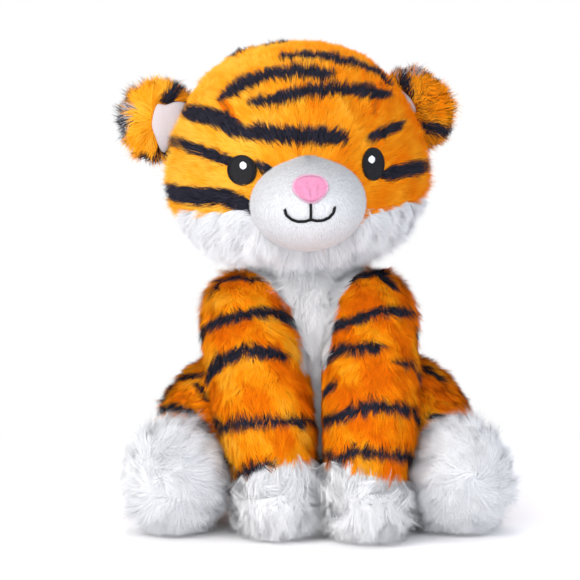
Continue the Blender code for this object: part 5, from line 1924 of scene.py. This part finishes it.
# %% Seat stitches
SEAT_STITCHES = 72
shape = bmesh.new()
for step in range(SEAT_STITCHES):
    points = []
    for share in (0.0, 0.5, 1.0):
        angle = 2.0 * math.pi * (step + 0.7 * share) / SEAT_STITCHES
        points.append(Vector((seat_middle.x + seat_half.x * 0.93 * math.cos(angle),
                              seat_middle.y + seat_half.y * 0.93 * math.sin(angle), 0.35 * MM)))
    thread(shape, points, [Z, Z, Z], *SEAT_THREAD)
seat_thread = stitched("seat_thread", "torso", shape)
print(SEAT_STITCHES, "stitches hold the seat")

# %% [markdown]
# ## Materials
#
# One small function adds a node with its settings and its links. Everything else in a material is a choice
# of nodes and values.

# %% Material helpers


def add(tree, kind, settings=None, **links):
    """Add a node, set what is given and join its inputs. A link is (node, output)."""
    node = tree.nodes.new(kind)
    for key, value in (settings or {}).items():
        if key in node.inputs:
            node.inputs[key].default_value = value
        else:
            setattr(node, key, value)
    for key, (source, output) in links.items():
        socket = node.inputs[key.replace("_", " ")]
        tree.links.new(source.outputs[output], socket)
    return node


def start(name):
    """A new material with a Principled shader."""
    material = bpy.data.materials.new(name)
    material.use_nodes = True
    return material, material.node_tree, material.node_tree.nodes["Principled BSDF"]


# %% [markdown]
# The pile is polyester, which is a soft plastic: the fibres are dyed through and scatter light, so the coat
# is matt, with almost no gloss. The colours come from each hair's own dye, painted deeper at its root as
# shade.

# %% Pile
pile_polyester, tree, shader = start("pile_polyester")
dye_and_shade = add(tree, "ShaderNodeAttribute", {"attribute_name": "Pile"})
tree.links.new(dye_and_shade.outputs["Color"], shader.inputs["Base Color"])
shader.inputs["Roughness"].default_value = 0.8
shader.inputs["Specular IOR Level"].default_value = 0.03

piled = [item for item in bpy.data.objects if item.type == "MESH" and "Pile" in item.data.attributes]
for item in piled:
    item.data.materials.append(pile_polyester)
print(len(piled), "pieces of pile")

# %% [markdown]
# The cloth under the pile is a knitted backing, with loops about a millimetre wide. Its dye follows the same
# stripes, and its colour is painted darker, a painted shade for the hairs that stand over it.

# %% Knitted backing
backing, tree, shader = start("knitted_backing")
dye_and_shade = add(tree, "ShaderNodeAttribute", {"attribute_name": "Ground"})
space = add(tree, "ShaderNodeTexCoord")
loops = add(tree, "ShaderNodeTexVoronoi", {"Scale": 900.0, "feature": "F1"}, Vector=(space, "Object"))
shade = add(tree, "ShaderNodeMix", {"data_type": "RGBA", "blend_type": "MULTIPLY", "Factor": 0.25})
tree.links.new(dye_and_shade.outputs["Color"], shade.inputs["A"])
tree.links.new(loops.outputs["Distance"], shade.inputs["B"])
tree.links.new(shade.outputs["Result"], shader.inputs["Base Color"])
ridge = add(tree, "ShaderNodeBump", {"Strength": 0.4, "Distance": 0.0003}, Height=(loops, "Distance"))
tree.links.new(ridge.outputs["Normal"], shader.inputs["Normal"])
shader.inputs["Roughness"].default_value = 0.9
shader.inputs["Specular IOR Level"].default_value = 0.2

# %% [markdown]
# Each point of the backing takes the root colour of the pile that stands on it, painted darker as shade of
# that pile. Some forms carry a white patch, which is found with the same functions as for the hairs.

# %% Dye of the backing
WHITE_FORMS = ("front_paw", "hind_foot", "tail_tip")
WHITE_PATCHES = {"head_skin": on_cheek, "torso_skin": on_chest}
for side in SIDES:
    WHITE_PATCHES[f"front_leg_{side}_skin"] = lambda places, side=side: under_bib(side, places)
# Painted shade: the backing's colour is the pile's root colour times this share.
HAIR_SHADE = 0.62  # share of the light that the hairs let through to the backing
ground_rng = np.random.default_rng(99)
for name, data in SKINS.items():
    if name == "muzzle_skin":
        continue
    places = data["P"]
    if name.startswith(WHITE_FORMS):
        column = white_only(name, places, ground_rng)
    else:
        golden = name.startswith(("head", "ear"))
        column = (golden_striped if golden else deep_striped)(name, places, ground_rng)
        if name in WHITE_PATCHES:
            white = white_only(name, places, ground_rng)
            column = np.where(WHITE_PATCHES[name](places), white, column)
        if name == "neck_skin":
            column = neck_columns(name, places, ground_rng)
    colour = ROOTS[column] * HAIR_SHADE
    layer = data["object"].data.attributes.new("Ground", "FLOAT_COLOR", "POINT")
    opaque = np.concatenate([colour, np.ones((len(colour), 1))], axis=1)
    layer.data.foreach_set("color", opaque.astype(np.float32).ravel())
    data["object"].data.materials.append(backing)
print("backing under", len(SKINS) - 1, "forms")

# %% [markdown]
# The other finishes share one build: two colours, and a noise as wide as their threads or hairs that goes
# between them. The noise can raise the surface too, and it can be drawn out along a brushing direction.

# %% Two-toned finishes


def finish(name, dark, light, scale, detail, rough, gloss, bump=None, stretch=None):
    """A material between two colours by a noise. A bump is its strength and its height in metres."""
    material, tree, shader = start(name)
    space, output = add(tree, "ShaderNodeTexCoord"), "Object"
    if stretch:
        space, output = add(tree, "ShaderNodeMapping", {"Scale": stretch}, Vector=(space, output)), "Vector"
    grain = add(tree, "ShaderNodeTexNoise", {"Scale": scale, "Detail": detail}, Vector=(space, output))
    tone = add(tree, "ShaderNodeMix", {"data_type": "RGBA"}, Factor=(grain, "Fac"))
    tone.inputs["A"].default_value = (*linear(dark), 1.0)
    tone.inputs["B"].default_value = (*linear(light), 1.0)
    tree.links.new(tone.outputs["Result"], shader.inputs["Base Color"])
    if bump:
        strength, height = bump
        ridge = add(tree, "ShaderNodeBump", {"Strength": strength, "Distance": height}, Height=(grain, "Fac"))
        tree.links.new(ridge.outputs["Normal"], shader.inputs["Normal"])
    shader.inputs["Roughness"].default_value = rough
    shader.inputs["Specular IOR Level"].default_value = gloss
    return material


def dress(items, material):
    """Give pieces a material."""
    for item in items:
        item.data.materials.append(material)


# %% [markdown]
# Under the short pile of the muzzle the ground is velboa too. Its colour is painted grey, a painted shade of
# the short pile that stands over it. It is brushed down, so the noise that makes its nap is drawn out to
# streaks under a millimetre wide and a few millimetres long.

# %% Muzzle ground
# Painted shade: the white ground is painted grey, as the pile over it would shade it.
velboa = finish("muzzle_velboa", "#B4B6BB", "#C6C7CB", 1.0, 3.0, 0.9, 0.15, bump=(0.45, 0.3 * MM),
                stretch=(1500.0, 1500.0, 300.0))
muzzle = SKINS["muzzle_skin"]["object"]
muzzle.data.materials.clear()
dress([muzzle], velboa)
print("velboa brushed down on", muzzle.name)

# %% [markdown]
# Embroidery thread is rayon or polyester, twisted, with a soft gloss. The tone changes from stitch to
# stitch, so the noise is as wide as one thread, about a millimetre. The black ones are the dullest.

# %% Embroidery threads
THREAD_NOISE = (1100.0, 2.0)
black_thread = finish("black_thread", "#060608", "#1A1A1E", *THREAD_NOISE, 0.5, 0.12)
eye_thread = finish("eye_thread", "#040405", "#26262A", *THREAD_NOISE, 0.5, 0.12)
white_thread = finish("white_thread", "#E4E6F2", "#FAFAFF", *THREAD_NOISE, 0.4, 0.4)
pink_thread = finish("pink_thread", "#BA6E92", "#D694B2", *THREAD_NOISE, 0.5, 0.2)
pale_pink_thread = finish("pale_pink_thread", "#C294AC", "#D2AABE", *THREAD_NOISE, 0.5, 0.2)
dress([nose_fill], pink_thread)
dress([nose_border], pale_pink_thread)
dress([mouth_line, seat_thread], black_thread)
dress([bpy.data.objects[f"eye_{side}_fill"] for side in SIDES], eye_thread)
dress([bpy.data.objects[f"eye_{side}_light"] for side in SIDES], white_thread)
print("threads in five dyes")

# %% [markdown]
# The ear lining is velboa, a very short smooth pile. The seat is a plain woven cloth, the pouch a light
# calico, and the filling a loose polyester fibre. Their grain is about a millimetre wide, a little coarser
# than the real threads, so that it shows.

# %% Cloth and fibre
WOVEN_BUMP, FIBRE_BUMP = (0.5, 0.2 * MM), (0.5, 0.6 * MM)
lining_velboa = finish("lining_velboa", "#ABA1A5", "#BFB7BA", 1300.0, 4.0, 0.9, 0.5, WOVEN_BUMP)
seat_weave = finish("seat_weave", "#C2620C", "#E88414", 1200.0, 4.0, 0.9, 0.5, WOVEN_BUMP)
calico = finish("calico", "#C8BCA4", "#E4DAC6", 1400.0, 4.0, 0.9, 0.5, WOVEN_BUMP)
fibre = finish("polyester_fibre", "#D8DADE", "#F4F5F7", 500.0, 4.0, 0.9, 0.5, FIBRE_BUMP)
dress([bpy.data.objects[f"ear_{side}_lining"] for side in SIDES], lining_velboa)
dress([bpy.data.objects[f"{node}_wad"] for node in FILLED.values()], fibre)
dress([bpy.data.objects["pellet_bag"]], calico)
dress([seat_cloth], seat_weave)
print("cloth on the linings, the seat, the pouch and the fillings")

# %% [markdown]
# ## Which piece stands for which solid
#
# Every soft solid is hidden, and a dressed piece stands for it. A stuffed form also says how tightly it is
# filled: the head is firm, and the ears are nearly empty. The cheeks and the bib are pile on the cloth of
# the head and the torso, so that pile stands for their panels.

# %% Names, fills and slots
STANDS_FOR = {"head": ("head", "orange_plush", 0.85), "muzzle": ("muzzle", "white_velboa", 0.8)}
for side in SIDES:
    STANDS_FOR[f"ear_{side}"] = (f"ear_{side}", "orange_plush", 0.5)
STANDS_FOR["torso"] = ("torso", "orange_plush", 0.8)
STANDS_FOR["neck"] = ("neck_wadding", "orange_plush", 0.8)
STANDS_FOR["tail"] = ("tail", "orange_plush", 0.7)
STANDS_FOR["tail_tip"] = ("tail_tip", "white_plush", 0.7)
for side in SIDES:
    for limb, slot in (("front_leg", "orange_plush"), ("front_paw", "white_plush"),
                       ("hind_leg", "orange_plush"), ("hind_foot", "white_plush")):
        STANDS_FOR[f"{limb}_{side}"] = (f"{limb}_{side}", slot, 0.75)
for form, (node, slot, fill) in STANDS_FOR.items():
    item = SKINS[f"{form}_skin"]["object"]
    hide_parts(node)
for item in cheek_pieces:
    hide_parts("cheek_panel")
for item in chest_pieces:
    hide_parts("chest_panel")
print(len(STANDS_FOR), "skins stand for stuffed solids")

# %% [markdown]
# ## Floor, light and background
#
# A plain pale floor catches the shadow. Near the toy the floor is seen as it is lit, and further out it
# fades to the white of the backdrop.

# %% Floor and backdrop
PAPER = (1.0, 1.0, 1.0, 1.0)
FLOOR_HALF = 1.5
FADE_FROM, FADE_TO = 0.12, 0.30
floor_mesh = bpy.data.meshes.new("floor")
floor_corners = [(x * FLOOR_HALF, y * FLOOR_HALF, 0) for x, y in ((-1, -1), (1, -1), (1, 1), (-1, 1))]
floor_mesh.from_pydata(floor_corners, [], [(0, 1, 2, 3)])
in_scene("floor", floor_mesh)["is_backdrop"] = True
floor_paint, tree, shader = start("floor_paint")
shader.inputs["Base Color"].default_value = (*linear("#F4F4F6"), 1.0)
shader.inputs["Roughness"].default_value = 0.9
space = add(tree, "ShaderNodeTexCoord")
reach = add(tree, "ShaderNodeVectorMath", {"operation": "LENGTH"}, Vector=(space, "Object"))
fade = add(tree, "ShaderNodeMapRange", {"From Min": FADE_FROM, "From Max": FADE_TO,
                                        "interpolation_type": "SMOOTHSTEP"}, Value=(reach, "Value"))
rays = add(tree, "ShaderNodeLightPath")
share = add(tree, "ShaderNodeMath", {"operation": "MULTIPLY"})
tree.links.new(rays.outputs["Is Camera Ray"], share.inputs[0])
tree.links.new(fade.outputs["Result"], share.inputs[1])
paper = add(tree, "ShaderNodeEmission", {"Color": PAPER, "Strength": 1.0})
mixer = add(tree, "ShaderNodeMixShader")
tree.links.new(share.outputs[0], mixer.inputs[0])
tree.links.new(shader.outputs[0], mixer.inputs[1])
tree.links.new(paper.outputs[0], mixer.inputs[2])
tree.links.new(mixer.outputs[0], tree.nodes["Material Output"].inputs["Surface"])
floor_mesh.materials.append(floor_paint)
print("floor", 2 * FLOOR_HALF, "m wide")

# %% [markdown]
# The world is a dim, slightly blue sky to the toy, and plain white to the camera.

# %% World
world = bpy.data.worlds.new("world")
bpy.context.scene.world = world
world.use_nodes = True
sky = world.node_tree.nodes["Background"]
rays = add(world.node_tree, "ShaderNodeLightPath")
white = add(world.node_tree, "ShaderNodeBackground", {"Color": PAPER, "Strength": 1.0})
sky.inputs["Color"].default_value = (*linear("#F2F4FA"), 1.0)
sky.inputs["Strength"].default_value = 0.93
mixer = add(world.node_tree, "ShaderNodeMixShader", {}, Fac=(rays, "Is Camera Ray"))
world.node_tree.links.new(sky.outputs[0], mixer.inputs[1])
world.node_tree.links.new(white.outputs[0], mixer.inputs[2])
world.node_tree.links.new(mixer.outputs[0], world.node_tree.nodes["World Output"].inputs["Surface"])
print("world at", round(sky.inputs["Strength"].default_value, 2))

# %% [markdown]
# A large soft lamp stands to the viewer's left, as in the photo. One in front, near the camera, lights the
# chest, one fills from the right, and a weak one above lifts the crown. The world gives the rest.

# %% Lamps
LAMP_AIM = Vector((0.0, 0.0, 0.12))


def lamp(name, place, size, power, colour):
    """A soft square lamp that looks at the middle of the toy."""
    data = bpy.data.lights.new(name, "AREA")
    data.size = size
    data.energy = power
    data.color = linear(colour)
    item = in_scene(name, data)
    item.location = place
    item.rotation_euler = (LAMP_AIM - Vector(place)).to_track_quat("-Z", "Y").to_euler()


for name, place, size, power, colour in (
        ("key", (-0.95, -0.8, 0.8), 0.9, 11.4, "#FFF8EE"), ("front", (-0.1, -1.3, 0.35), 0.8, 9.6, "#FFFFFF"),
        ("fill", (0.9, -0.8, 0.5), 0.7, 2.0, "#F4F6FF"), ("top", (0.0, 0.3, 1.1), 0.6, 4.0, "#FFFFFF")):
    lamp(name, place, size, power, colour)
bpy.context.scene.view_settings.view_transform = "Standard"

# %% [markdown]
# Last, the box of the dressed toy is printed.

# %% Sizes and the end
low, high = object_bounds()
print("visual from", [round(v, 3) for v in low], "to", [round(v, 3) for v in high])
